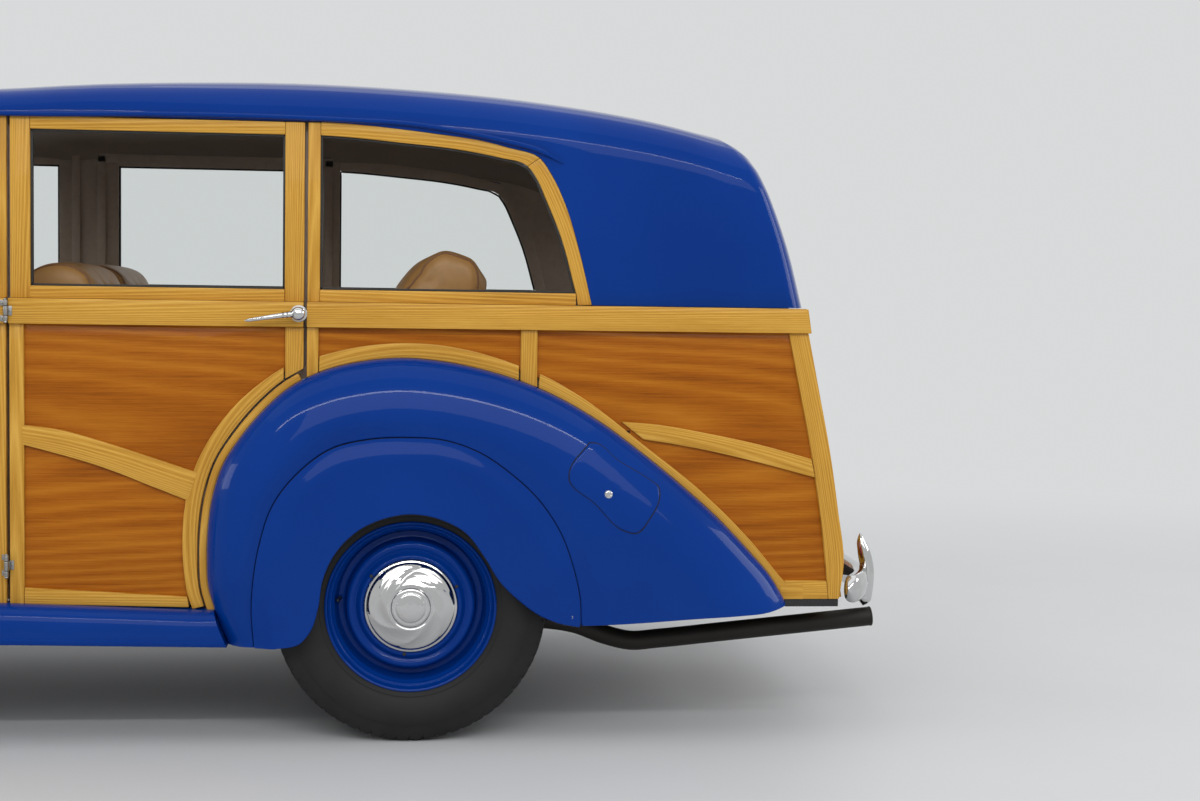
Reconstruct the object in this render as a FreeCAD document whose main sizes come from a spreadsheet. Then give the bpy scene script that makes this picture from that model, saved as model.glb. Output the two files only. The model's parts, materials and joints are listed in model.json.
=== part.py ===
import FreeCAD, Part
import math
import os
import re

import Sketcher
from FreeCAD import Placement, Rotation, Vector

# A wood-framed station wagon of the late 1940s: a ladder chassis with steel wings and bonnet, and an ash-framed
# body with four doors, a fixed quarter window each side and a tail that opens in two halves.
# Frame: X points to the rear, Y to the car's right, Z up. The origin is on the ground under the middle of the car.

doc = FreeCAD.newDocument("station_wagon")
sheet = doc.addObject("Spreadsheet::Sheet", "sizes")

# name, millimetres or degrees, what it is
SIZES = [
    ("wheelbase", 3048, "front axle to rear axle"),
    ("front_overhang", 700, "front axle to the front of the bumper"),
    ("rear_overhang", 1270, "rear axle to the back of the bumper"),
    ("tyre_radius", 355, "outside of the tread, and the height of the axles"),
    ("tyre_width", 166, "across the side walls"),
    ("seat_radius", 203, "where the tyre's bead sits on the rim"),
    ("flange_radius", 222, "edge of the rim"),
    ("stub_radius", 20, "stub axle inside the wheel's hub"),
    ("hub_clear", 0.05, "radial clearance of the hub on its stub"),
    ("well_clear", 50, "radial space round each tyre"),
    ("body_half", 775, "middle of the car to the outside of the door frames"),
    ("wing_out", 95, "wings stand out from the door frames"),
    ("rear_wheel_in", 44, "side of a rear tyre lies in from the wing's outside"),
    ("front_wheel_in", 72, "side of a front tyre lies in from the wing's outside"),
    ("kingpin_in", 90, "kingpin lies in from the middle of its tyre"),
    ("wall", 45, "thickness of doors and quarter panels"),
    ("belt_step", 15, "belt rail stands out from the door frame"),
    ("upper_step", 15, "window frames lie in from the door frame"),
    ("belt_depth", 65, "height of the belt rail"),
    ("clearance", 8, "gap round doors and lids"),
    ("close_fit", 0.3, "gap between the parts of a hinge"),
    ("rear_door_start", 1021, "rear axle forward to the rear door's hinge gap"),
    ("rear_door_end", 276, "rear axle forward to the rear door's lock gap"),
    ("post", 75, "length of the centre post with half a gap at each side"),
    ("cowl_back", 1130, "front axle back to the front door's hinge gap"),
    ("cowl_front", 930, "front axle back to the bonnet's rear edge"),
    ("front_taper", 5.5, "degrees that the front doors turn in towards the bonnet"),
    ("rake", 25, "degrees that the windscreen leans back"),
    ("stile", 50, "width of the frame round a window"),
    ("glass", 5, "thickness of the windows"),
    ("barrel", 7, "radius of a hinge barrel"),
    ("barrel_long", 24, "length of a hinge's middle barrel"),
    ("leaf", 40, "length of a hinge leaf"),
    ("hinge_out", 8, "hinge pins stand outside the face that they are screwed to"),
    ("tail_low", 1154, "rear axle back to the foot of the tail"),
    ("tail_belt", 1032, "rear axle back to the tail at the belt rail"),
    ("hatch_top", 873, "rear axle back to the hatch's upper edge"),
    ("hatch_tilt", 35, "degrees that the hatch's upper edge faces up"),
    ("hatch_in", 135, "side of the hatch lies in from the door frame's outside"),
    ("hatch_stile", 65, "width of the frame round the hatch's window"),
    ("skin", 12, "thickness of the steel panels"),
    ("roof_thick", 30, "thickness of the roof with its lining"),
    ("strip", 14, "width of the fixed strip round a rear wing"),
    ("rail_depth", 90, "height of the chassis rails"),
    ("rail_width", 60, "width of the chassis rails"),
    ("rail_out", 380, "middle of the car to the middle of a rail"),
    ("floor_thick", 15, "thickness of the floor"),
    ("sill_gap", 30, "edge of the floor to the inside of the doors"),
    ("sill_in", 32, "edge of a running board lies in from the wing's outside"),
    ("bonnet_front_half", 235, "half the bonnet's width at the radiator"),
    ("bonnet_rear_in", 57, "side of the bonnet's rear lies in from the cowl's side"),
    ("radiator_back", 68, "front axle forward to the back of the radiator shell"),
    ("radiator_depth", 100, "front to back of the radiator shell"),
    ("radiator_rim", 37, "width of the radiator shell's rim"),
    ("bumper_depth", 75, "height of the bumper blades"),
    ("bumper_thick", 30, "front to back of the bumper blades"),
    ("tow_hole", 6.5, "radius of the two holes at the back of each rail"),
    ("tow_long", 120, "spacing of those holes along the rail"),
    ("exhaust_radius", 27, "outside of the exhaust pipe"),
]
# heights above the axles, so that the body rides on its tyres
HEIGHTS = [
    ("belt_top", 785, "top of the belt rail"),
    ("ledge", 817, "bottom of the side windows"),
    ("head", 1212, "top of the side windows"),
    ("cant", 1253, "underside of the roof along the doors"),
    ("roof_top", 1385, "highest point of the roof"),
    ("door_low_front", 5, "bottom of the doors at the centre post"),
    ("door_low_rear", -12, "bottom of the rear door at the wing"),
    ("tail_foot", 12, "lower edge of the tail"),
    ("gate_low", 213, "lower edge of the drop gate"),
    ("frame_top", 145, "top of the chassis rails"),
    ("sill_low", -97, "underside of the running boards"),
    ("bonnet_front_top", 750, "top of the bonnet at the radiator"),
    ("bonnet_rear_top", 805, "top of the bonnet at the cowl"),
    ("bonnet_low", 390, "lower edge of the bonnet"),
    ("bumper_height", 40, "middle of the bumpers"),
    ("lamp_height", 445, "middle of the headlamps"),
]
for row, (name, value, _) in enumerate(SIZES + HEIGHTS, start=1):
    sheet.set(f"A{row}", name)
    sheet.set(f"B{row}", str(value))
    sheet.setAlias(f"B{row}", name)
doc.recompute()

CELLS = {name: f"sizes.{name}" for name, _, _ in SIZES}
CELLS.update({name: f"(sizes.tyre_radius+sizes.{name})" for name, _, _ in HEIGHTS})
SIDES = (("left", -1), ("right", 1))
nodes = {}


# ---- expressions on the sheet -------------------------------------------------------------------------------------
def bound(text):
    """An expression with each size's name pointed at its cell."""
    return re.sub(r"[a-z][a-z_]+", lambda match: CELLS.get(match[0], match[0]), str(text))


def mm(text):
    """The number that an expression gives now."""
    value = sheet.evalExpression(bound(text))
    return float(getattr(value, "Value", value))


def bind(obj, **expressions):
    for prop, text in expressions.items():
        obj.setExpression(prop.replace("__", "."), bound(text))


def about(axis, degrees):
    return Rotation(Vector(*axis), degrees)


def place(obj, x="0", y="0", z="0", turn=None):
    """Puts an object at bound coordinates, turned by a rotation."""
    if turn:
        obj.Placement = Placement(Vector(), turn)
    bind(obj, Placement__Base__x=x, Placement__Base__y=y, Placement__Base__z=z)
    return obj


def span(*ends):
    """Two expressions, the lower first."""
    return sorted(ends, key=mm)


# ---- small builders -----------------------------------------------------------------------------------------------
def block(x, y, z):
    """A box from (low, high) pairs of expressions."""
    box = doc.addObject("Part::Box", "block")
    bind(box, Length=f"({x[1]})-({x[0]})", Width=f"({y[1]})-({y[0]})", Height=f"({z[1]})-({z[0]})")
    return place(box, x[0], y[0], z[0])


def rod(radius, length, x, y, z, turn=about((1, 0, 0), -90)):
    """A cylinder from a point; it runs along +Y unless it is turned."""
    cylinder = doc.addObject("Part::Cylinder", "rod")
    bind(cylinder, Radius=radius, Height=length)
    return place(cylinder, x, y, z, turn)


def sketch_on(body, role, outline):
    """A closed polygon on one of the body's origin planes, each corner bound to the sheet."""
    sketch = body.newObject("Sketcher::SketchObject", "outline")
    plane = next(f for f in body.Origin.OriginFeatures if f.Role == role)
    sketch.AttachmentSupport = [(plane, "")]
    sketch.MapMode = "FlatFace"
    at = [Vector(mm(u), mm(v), 0) for u, v in outline]
    count = len(at)
    for i in range(count):
        sketch.addGeometry(Part.LineSegment(at[i], at[(i + 1) % count]), False)
    for i in range(count):
        sketch.addConstraint(Sketcher.Constraint("Coincident", i, 2, (i + 1) % count, 1))
    for i, pair in enumerate(outline):
        for kind, text, number in zip(("DistanceX", "DistanceY"), pair, at[i]):
            index = sketch.addConstraint(Sketcher.Constraint(kind, -1, 1, i, 1, number))
            sketch.setExpression(f"Constraints[{index}]", bound(text))
    return sketch


def new_body():
    return doc.addObject("PartDesign::Body", "piece")


def pad(body, role, outline, length, back=False, pocket=False):
    """Adds a pad, or cuts a pocket, from an origin plane of the body."""
    feature = body.newObject("PartDesign::Pocket" if pocket else "PartDesign::Pad", "pad")
    feature.Profile = sketch_on(body, role, outline)
    feature.Reversed = back != pocket
    bind(feature, Length=length)
    body.Tip = feature
    return body


def plate(role, outline, length, back=False):
    return pad(new_body(), role, outline, length, back)


def turned(outline, x, y, z, turn):
    """A revolved piece: outline holds (radius, height) pairs about the piece's own Z axis."""
    body = new_body()
    feature = body.newObject("PartDesign::Revolution", "revolved")
    sketch = sketch_on(body, "XZ_Plane", outline)
    feature.Profile = sketch
    feature.ReferenceAxis = (sketch, ["V_Axis"])
    feature.Angle = 360
    body.Tip = feature
    return place(body, x, y, z, turn)


def join(*pieces):
    fused = doc.addObject("Part::MultiFuse", "joined")
    fused.Shapes = list(pieces)
    fused.Refine = True
    return fused


def cut(base, *tools):
    for tool in tools:
        feature = doc.addObject("Part::Cut", "cut")
        feature.Base = base
        feature.Tool = tool
        base = feature
    return base


def meet(base, tool):
    feature = doc.addObject("Part::Common", "common")
    feature.Base = base
    feature.Tool = tool
    return feature


def several(*pieces):
    """Like pieces that don't touch, kept as separate solids of one node."""
    group = doc.addObject("Part::Compound", "group")
    group.Links = list(pieces)
    return group


def free(shape):
    """A shape made with Part's own functions, whose sizes come from the sheet through mm()."""
    feature = doc.addObject("Part::Feature", "shape")
    feature.Shape = shape
    return feature


def node(name, obj):
    obj.Label = name
    nodes[name] = obj
    return obj


# ---- lines and arcs -----------------------------------------------------------------------------------------------
def in_plane(y, chain):
    return [Vector(x, y, z) for x, z in chain]


def arcs(points):
    """Arcs end to end, each through three points of a chain."""
    return [Part.Arc(*points[i : i + 3]).toShape() for i in range(0, len(points) - 2, 2)]


def lines(points):
    return [Part.LineSegment(a, b).toShape() for a, b in zip(points, points[1:])]


def slab(edges, y_low, y_high):
    """A prism across the car from edges that lie in the plane y_low."""
    return Part.Face(Part.Wire(edges)).extrude(Vector(0, y_high - y_low, 0))


def drawn_in(chain, depth):
    """The chain moved by depth towards its inside, which is on the right of its direction."""
    moved = []
    last = len(chain) - 1
    for i, (x, z) in enumerate(chain):
        ax, az = chain[max(i - 1, 0)]
        bx, bz = chain[min(i + 1, last)]
        length = math.hypot(bx - ax, bz - az)
        moved.append((x + depth * (bz - az) / length, z - depth * (bx - ax) / length))
    return moved


# ---- places on the car --------------------------------------------------------------------------------------------
rear_axle = "((wheelbase+front_overhang-rear_overhang)/2)"
front_axle = f"({rear_axle}-wheelbase)"
axle_height = "tyre_radius"
wing_half = "(body_half+wing_out)"
rear_wheel_y = f"({wing_half}-rear_wheel_in-tyre_width/2)"
front_wheel_y = f"({wing_half}-front_wheel_in-tyre_width/2)"
well_radius = "(tyre_radius+well_clear)"
inner_face = "(body_half-wall)"
upper_half = "(body_half-upper_step)"
floor_half = f"({inner_face}-sill_gap)"
floor_top = "(frame_top+floor_thick)"
rail_low = "(frame_top-rail_depth)"
rail_face = "(rail_out+rail_width/2)"
belt_low = "(belt_top-belt_depth)"
rear_hinge = f"({rear_axle}-rear_door_start)"
post_front = f"({rear_hinge}-clearance-post)"
front_hinge = f"({front_axle}+cowl_back)"
front_door_long = f"(({post_front}-{front_hinge})/cos(front_taper))"
cowl_half = f"(body_half-{front_door_long}*sin(front_taper))"
cowl_end = f"({front_hinge}-clearance)"
sill_front = f"({cowl_half}-wall-sill_gap)"
sill_top = "(door_low_front-clearance)"
bonnet_rear_half = f"({cowl_half}-bonnet_rear_in)"
bonnet_start = f"({front_axle}-radiator_back+clearance)"
bonnet_end = f"({front_axle}+cowl_front)"
rails_start = f"({front_axle}-radiator_back-radiator_depth-160)"
rails_end = f"({rear_axle}+tail_low-wall-80)"
screen_top = f"({cowl_end}+(cant-belt_top)*tan(rake)-wall/cos(rake)-clearance)"
roof_middle = f"(({screen_top}+{post_front})/2)"
XR, XF, AXLE = mm(rear_axle), mm(front_axle), mm(axle_height)

# the rear wing's edge against the body, from its front foot to its tail: x and z from the wheel's centre
REAR_WING = [
    (-503, -12), (-524, 145), (-484, 365), (-384, 504), (-237, 606), (-33, 644), (173, 618),
    (382, 544), (594, 407), (810, 226), (986, 18),
]  # fmt: skip
# its lower edge, with the part-covered opening for the wheel, from front to back
REAR_OPENING = [
    (-336, -97), (-262, -65), (-236, 14), (-170, 180), (-4, 251), (150, 193), (227, 78), (300, 7), (441, -43),
]  # fmt: skip
REAR_SKIRT = [(441, -43), (750, -25), (986, 11), (1100, 25)]
# the front wing's edge, from nose to tail: x and z from the wheel's centre
FRONT_WING = [(-560, -20), (-530, 245), (-330, 445), (-60, 538), (300, 435), (700, 205)]
FRONT_WING.append((mm("cowl_back") - 15, -3))
# x from the rear axle and the drop from the head or the cant, along the top of the quarter window and its frame
QUARTER_HEAD = [(-230, 0), (-38, 14), (116, 29), (220, 47), (291, 66), (339, 148), (379, 243)]
QUARTER_FRAME = [(-38, 18), (64, 29), (168, 43), (245, 61), (324, 85), (356, 130), (393, 207), (426, 310)]
QUARTER_END = 465
# the tail above the belt rail, seen from the side: x and z from the tail at the belt rail
TAIL = [(2, 0), (-47, 163), (-116, 314), (-152, 385), (-232, 460)]
# the roof's sections: x, half width, fall from the roof's highest point, rise above the shoulder
ROOF = [
    (screen_top, f"{upper_half}-({post_front}-{screen_top})*tan(front_taper)", 78, 54),
    (roof_middle, f"{upper_half}-({post_front}-{roof_middle})*tan(front_taper)", 66, 70),
    (post_front, f"{upper_half}-2", 50, 82),
    (f"{rear_axle}-450", upper_half, 0, 132),
    (f"{rear_axle}+300", upper_half, 34, 134),
    (f"{rear_axle}+800", f"{upper_half}-10", 114, 134),
    (f"{rear_axle}+1160", f"{upper_half}-25", 250, 134),
]


# ---- wheels and tyres ---------------------------------------------------------------------------------------------
def wheel_and_tyre(name, side, x, distance):
    """A tyre on its disc wheel, both turned about a line that runs outboard from the middle of the tyre."""
    outboard = about((1, 0, 0), -90 * side)
    at = (x, f"{side}*{distance}", axle_height)
    bead, shoulder = "tyre_width*0.38", "tyre_width*0.46"
    tyre = [
        ("seat_radius", f"-{bead}"), ("tyre_radius*0.8", "-tyre_width/2"), ("tyre_radius*0.93", f"-{shoulder}"),
        ("tyre_radius", "-tyre_width*0.32"), ("tyre_radius", "tyre_width*0.32"), ("tyre_radius*0.93", shoulder),
        ("tyre_radius*0.8", "tyre_width/2"), ("seat_radius", bead),
    ]  # fmt: skip
    node(f"tyre_{name}", turned(tyre, *at, outboard))
    bore, hub, rim_inside = "stub_radius+hub_clear", "stub_radius+25", "seat_radius-14"
    wheel = [
        (bore, "-60"), (hub, "-60"), (hub, "22"), ("150", "45"), (rim_inside, "30"), (rim_inside, f"-{bead}"),
        ("seat_radius", f"-{bead}"), ("seat_radius", bead), ("flange_radius", f"{bead}+6"),
        (rim_inside, f"{bead}+6"), (rim_inside, "44"), ("150", "59"), ("118", "60"), ("112", "68"), ("60", "86"),
        ("0.5", "90"), ("0.5", "30"), (bore, "30"),
    ]  # fmt: skip
    node(f"wheel_{name}", turned(wheel, *at, outboard))


def wheels():
    for label, side in SIDES:
        wheel_and_tyre(f"front_{label}", side, front_axle, front_wheel_y)
        wheel_and_tyre(f"rear_{label}", side, rear_axle, rear_wheel_y)


# ---- hinges -------------------------------------------------------------------------------------------------------
def hinge(side, depth, fixed_depth, x, y, z, turn=None):
    """The moving leaf, towards the hinge's +X, and the two fixed leaves about its own Z axis."""

    def leaf(low, high, along, inward):
        pin = rod("barrel", f"({high})-({low})", "0", "0", low, turn=Rotation())
        return join(pin, block(along, span("0", f"{-side}*({inward})"), (low, high)))

    middle, outer = "barrel_long/2", "(barrel_long/2+close_fit)"
    moving = leaf(f"-{middle}", middle, ("0", "leaf"), depth)
    upper = leaf(outer, f"{outer}+16", ("-leaf", "0"), fixed_depth)
    lower = leaf(f"-{outer}-16", f"-{outer}", ("-leaf", "0"), fixed_depth)
    return place(moving, x, y, z, turn), place(join(upper, lower), x, y, z, turn)


def hinge_heights():
    """Each side door's hinges: a height and how far the face there lies behind the pin."""
    frame_depth = "(hinge_out+belt_step)"
    return (("(belt_top-belt_depth/2)", "hinge_out"), ("(door_low_front+100)", frame_depth))


# ---- doors --------------------------------------------------------------------------------------------------------
def door(side, front, back, low_back, upper_front):
    """A door in its own flat frame, X along it and its inner face at Y = 0; upper_front leans by the rake."""
    body = new_body()
    out = side > 0
    lean = f"({front}+(%s-belt_top)*tan(rake))" if upper_front else f"({front}+0*%s)"
    edge = "stile/cos(rake)" if upper_front else "stile"
    top = "(cant-clearance)"
    lower = [(front, "door_low_front"), (back, low_back), (back, belt_low), (front, belt_low)]
    belt = [(front, belt_low), (back, belt_low), (back, "belt_top"), (front, "belt_top")]
    upper = [(front, "belt_top"), (back, "belt_top"), (back, top), (lean % top, top)]
    window = [
        (f"{lean % 'ledge'}+{edge}", "ledge"), (f"{back}-stile", "ledge"), (f"{back}-stile", "head"),
        (f"{lean % 'head'}+{edge}", "head"),
    ]  # fmt: skip
    pad(body, "XZ_Plane", lower, "wall", out)
    pad(body, "XZ_Plane", belt, "wall+belt_step", out)
    pad(body, "XZ_Plane", upper, "wall-upper_step", out)
    pad(body, "XZ_Plane", window, "wall", out, pocket=True)
    return body, plate("XZ_Plane", window, "glass", out)


def rear_doors(posts):
    back = "(rear_door_start-rear_door_end-clearance/2)"
    inset = "(wall-upper_step-glass)/2"
    pin = "(body_half+belt_step+hinge_out)"
    for label, side in SIDES:
        leaf, pane = door(side, "clearance/2", back, "door_low_rear", False)
        place(leaf, rear_hinge, f"{side}*{inner_face}")
        place(pane, rear_hinge, f"{side}*({inner_face}+{inset})")
        pairs = [hinge(side, depth, depth, rear_hinge, f"{side}*{pin}", z) for z, depth in hinge_heights()]
        arch = free(rear_wing_slab(-mm("strip+clearance+2")))
        node(f"rear_door_{label}", join(cut(leaf, arch), *[moving for moving, _ in pairs]))
        node(f"rear_door_glass_{label}", pane)
        posts[label] += [fixed for _, fixed in pairs]


def front_doors(cowl_pieces):
    """The front doors turn in towards the bonnet, so each is placed by a turn about its rear edge."""
    front, back = f"(-{front_door_long}+clearance/2)", "-clearance/2"
    inset = "(wall-upper_step-glass)/2"
    out = "(wall+belt_step+hinge_out)"
    for label, side in SIDES:
        turn = about((0, 0, 1), side * mm("front_taper"))
        leaf, pane = door(side, front, back, "door_low_front", True)
        place(leaf, post_front, f"{side}*{inner_face}", turn=turn)
        along, across = f"{inset}*sin(front_taper)", f"{inset}*cos(front_taper)"
        place(pane, f"{post_front}-{along}", f"{side}*({inner_face}+{across})", turn=turn)
        x = f"{front_hinge}-{out}*sin(front_taper)"
        y = f"{side}*({inner_face}-{front_door_long}*sin(front_taper)+{out}*cos(front_taper))"
        deep = "hinge_out+belt_step+20"
        pairs = [hinge(side, depth, deep, x, y, z, turn) for z, depth in hinge_heights()]
        node(f"front_door_{label}", join(leaf, *[moving for moving, _ in pairs]))
        node(f"front_door_glass_{label}", pane)
        cowl_pieces += [fixed for _, fixed in pairs]


def door_posts(hinges):
    ends = (f"{post_front}+clearance/2", f"{rear_hinge}-clearance/2")
    posts = []
    for label, side in SIDES:
        steps = ((sill_top, "belt_top", "body_half"), (belt_low, "belt_top", "body_half+belt_step"))
        steps += (("belt_top", "cant", upper_half),)
        pieces = [block(ends, span(f"{side}*({out})", f"{side}*{inner_face}"), (low, top)) for low, top, out in steps]
        posts.append(join(*pieces, *hinges[label]))
    node("door_posts", several(*posts))


# ---- quarter panels and running boards ----------------------------------------------------------------------------
def wing_outline(chain, x_axle, y, depth, foot, lift=1.0):
    """The closed side outline of a wing at distance y, drawn in by depth and with its height scaled by lift."""
    points = []
    for x, z in drawn_in(chain, depth):
        points.append((x_axle + x, AXLE + (z * lift if z > 0 else z)))
    first, end = points[0], points[-1]
    closing = in_plane(y, [end, (end[0], foot), (first[0], foot), first])
    return arcs(in_plane(y, points)) + lines(closing)


def rear_wing_slab(depth):
    """The rear wing's outline, grown by -depth, right across the car: what its neighbours are cut back by."""
    reach = mm(wing_half) + 50
    return slab(wing_outline(REAR_WING, XR, -reach, depth, AXLE - 200), -reach, reach)


def quarter_slab(side, outline, thick):
    corners = [(f"{rear_axle}+({x})", z) for x, z in outline]
    return place(plate("XZ_Plane", corners, thick, side > 0), "0", f"{side}*{inner_face}")


def quarter_panels():
    """The fixed sides behind the rear doors, with the strip round the rear wings, and their windows' glass."""
    start = "(clearance/2-rear_door_end)"
    lower = [
        (start, "door_low_rear-40"), ("tail_low-14", "tail_foot"), ("tail_low", "tail_foot+60"),
        ("tail_belt+10", belt_low), (start, belt_low),
    ]  # fmt: skip
    belt = [(start, belt_low), ("tail_belt+14", belt_low), ("tail_belt", "belt_top"), (start, "belt_top")]
    top = [(x, f"cant-{drop}") for x, drop in QUARTER_FRAME]
    upper = [(start, "belt_top"), (start, "cant-clearance"), *top, (QUARTER_END, "belt_top")]
    hole = [(f"{start}+36", "ledge"), *[(x, f"head-{drop}") for x, drop in QUARTER_HEAD], (QUARTER_END - 42, "ledge")]
    sides, panes = [], []
    for _, side in SIDES:
        steps = ((lower, "wall"), (belt, "wall+belt_step"), (upper, "wall-upper_step"))
        panel = join(*[quarter_slab(side, outline, thick) for outline, thick in steps])
        ring = cut(free(rear_wing_slab(-mm("strip"))), free(rear_wing_slab(0)))
        x = (f"{rear_axle}-700", f"{rear_axle}+{start}+1")
        foot = "(door_low_rear-clearance)"
        zone = block(x, span(f"{side}*body_half", f"{side}*{inner_face}"), (foot, belt_low))
        panel = cut(panel, quarter_slab(side, hole, "wall"), free(rear_wing_slab(0)))
        sides.append(join(panel, meet(ring, zone)))
        pane = quarter_slab(side, hole, "glass")
        panes.append(place(pane, "0", f"{side}*({inner_face}+(wall-upper_step-glass)/2)"))
    node("quarter_panels", several(*sides))
    return panes


def running_boards():
    """Each board runs in under the doors to an upright sill along the floor's edge."""
    start, end = f"({bonnet_end}-30)", f"({rear_axle}-440)"
    low_rear = "(door_low_rear-clearance)"
    step = [
        (start, "sill_low"), (end, "sill_low"), (end, low_rear), (f"{rear_axle}-550", low_rear),
        (rear_hinge, sill_top), (start, sill_top),
    ]  # fmt: skip
    edge = [(front_hinge, sill_front), (post_front, floor_half), (f"({rear_axle}-{well_radius}-60)", floor_half)]
    sill = edge + [(x, f"{y}+20") for x, y in reversed(edge)]
    boards = []
    for _, side in SIDES:
        board = plate("XZ_Plane", step, f"{wing_half}-sill_in-{sill_front}", side > 0)
        place(board, "0", f"{side}*{sill_front}")
        upright = plate("XY_Plane", [(x, f"{side}*({y})") for x, y in sill], f"{floor_top}-sill_low")
        place(upright, "0", "0", "sill_low")
        boards.append(cut(join(board, upright), free(rear_wing_slab(0)), free(cowl_solid(0))))
    node("running_boards", several(*boards))


# ---- roof and tail ------------------------------------------------------------------------------------------------
def roof_solid(thick):
    """The outside of the roof, or the space inside it when thick is more than nothing."""
    sections = []
    top, low = mm("roof_top"), mm("belt_top")
    for i, (x, half, fall, rise) in enumerate(ROOF):
        w, z = mm(half) - thick, top - fall - thick
        a, b = z - rise * 0.54, z - rise * 0.24
        right = [(w - 105, b), (w - 22, a), (w, z - rise), (w, low)]
        left = [(-y, h) for y, h in reversed(right)]
        x = mm(x) + (thick if i == 0 else 0)
        v = [Vector(x, y, h) for y, h in [*left, (0, z), *right]]
        sections.append(Part.Wire(lines(v[:2]) + arcs(v[1:8]) + lines([v[7], v[8], v[0]])))
    loft = Part.makeLoft(sections, True, False)
    y = mm("body_half")
    upwards = drawn_in(TAIL, 0.0001 - thick)
    slope = in_plane(-y, [(XR + mm("tail_belt") + x, low + z) for x, z in upwards])
    ahead, above = mm(screen_top) - 200, top + 40
    over = in_plane(-y, [(slope[-1].x - 60, above), (ahead, above), (ahead, low - 1), (slope[0].x, low - 1)])
    edges = arcs(slope) + lines([slope[-1], *over, slope[0]])
    return loft.common(slab(edges, -y, y))


def below_roof():
    """Everything below the roof's edge along the doors and over the quarter windows."""
    reach = mm("body_half") + 40
    start, cant, belt = mm(screen_top) - 150, mm("cant"), mm("belt_top")
    edge = [(XR + x, cant - drop) for x, drop in reversed(QUARTER_FRAME)]
    corner = XR + QUARTER_END
    outline = [(corner, belt - 5), (corner, belt), *edge, (XR - 239, cant), (start, cant), (start, belt - 5)]
    points = in_plane(-reach, outline)
    return slab(lines(points + points[:1]), -reach, reach)


def hatch_zone(low, grow, sides_in, high_in):
    """A prism behind the tail: its upper face leans by the hatch's tilt, and grow opens it for the gap."""
    half = f"(body_half-hatch_in+{grow}-{sides_in})"
    along = f"({grow}-{high_in})"
    x = f"({rear_axle}+hatch_top-{along}*sin(hatch_tilt))"
    z = f"(belt_top+397+{along}*cos(hatch_tilt))"
    run, climb = "cos(hatch_tilt)", "sin(hatch_tilt)"
    outline = [
        (f"{rear_axle}+1500", low), (f"{x}-100*{run}", low), (f"{x}-100*{run}", f"{z}-100*{climb}"),
        (f"{x}+400*{run}", f"{z}+400*{climb}"), (f"{rear_axle}+1500", f"{z}+400*{climb}"),
    ]  # fmt: skip
    return place(plate("XZ_Plane", outline, f"2*{half}"), "0", half)


def roof_and_hatch():
    shell = cut(free(roof_solid(0)), free(roof_solid(mm("roof_thick"))))
    tilt = mm("hatch_tilt")
    sine, cosine = math.sin(math.radians(tilt)), math.cos(math.radians(tilt))
    # the hinge's X runs down the hatch, its Y out of the tail
    turn = Rotation(Vector(sine, 0, -cosine), Vector(cosine, 0, sine), Vector(0, -1, 0), "ZXY")
    out, up = "hinge_out", "clearance/2"
    x = f"{rear_axle}+hatch_top+{out}*cos(hatch_tilt)-{up}*sin(hatch_tilt)"
    z = f"belt_top+397+{out}*sin(hatch_tilt)+{up}*cos(hatch_tilt)"
    pairs = [hinge(1, "hinge_out+8", "hinge_out+8", x, y, z, turn) for y in ("-400", "400")]
    body = cut(shell, free(below_roof()), hatch_zone("belt_top-clearance", "clearance", "0", "0"))
    node("roof", join(body, *[fixed for _, fixed in pairs]))
    window = hatch_zone("belt_top+hatch_stile", "0", "hatch_stile", "hatch_stile")
    frame = cut(meet(shell, hatch_zone("belt_top", "0", "0", "0")), window)
    node("tail_hatch", join(frame, *[moving for moving, _ in pairs]))
    sheet_of_glass = cut(free(roof_solid(mm("skin"))), free(roof_solid(mm("skin+glass"))))
    node("tail_hatch_glass", meet(sheet_of_glass, window))


def tail_lower():
    """The drop gate, hinged at its foot, above a fixed apron; both lean forward as they rise."""
    lean = "((tail_low-tail_belt)/(belt_top-tail_foot))"
    face = f"({rear_axle}+tail_low-(%s-tail_foot)*{lean})"

    def panel(low, high, half):
        corners = [
            (f"{face % low}-wall", low), (face % low, low), (face % high, high), (f"{face % high}-wall", high),
        ]  # fmt: skip
        return place(plate("XZ_Plane", corners, f"2*{half}"), "0", half)

    slope = math.atan(mm(lean))
    sine, cosine = math.sin(slope), math.cos(slope)
    # the hinge's X runs up the gate, its Y out of the tail
    turn = Rotation(Vector(-sine, 0, cosine), Vector(cosine, 0, sine), Vector(0, 1, 0), "ZXY")
    gap_middle = "(gate_low-clearance/2)"
    x = f"{face % gap_middle}+hinge_out*{cosine}"
    z = f"{gap_middle}+hinge_out*{sine}"
    pairs = [hinge(1, "hinge_out", "hinge_out", x, y, z, turn) for y in ("-520", "520")]
    gate = panel("gate_low", "(belt_top-clearance)", f"({inner_face}-clearance)")
    node("drop_gate", join(gate, *[moving for moving, _ in pairs]))
    apron = cut(panel("tail_foot", "(gate_low-clearance)", inner_face), *irons("rear"))
    node("tail_apron", join(apron, *[fixed for _, fixed in pairs]))


# ---- cowl, windscreen and bonnet ----------------------------------------------------------------------------------
def cowl_section(x, half, top, drop, low):
    """A closed section across the car, crowned by drop from its middle to its sides."""
    corners = ((-half, low), (-half, top - drop), (0, top), (half, top - drop), (half, low))
    v = [Vector(x, y, z) for y, z in corners]
    return Part.Wire(lines(v[:2]) + arcs(v[1:4]) + lines([v[3], v[4], v[0]]))


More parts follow.
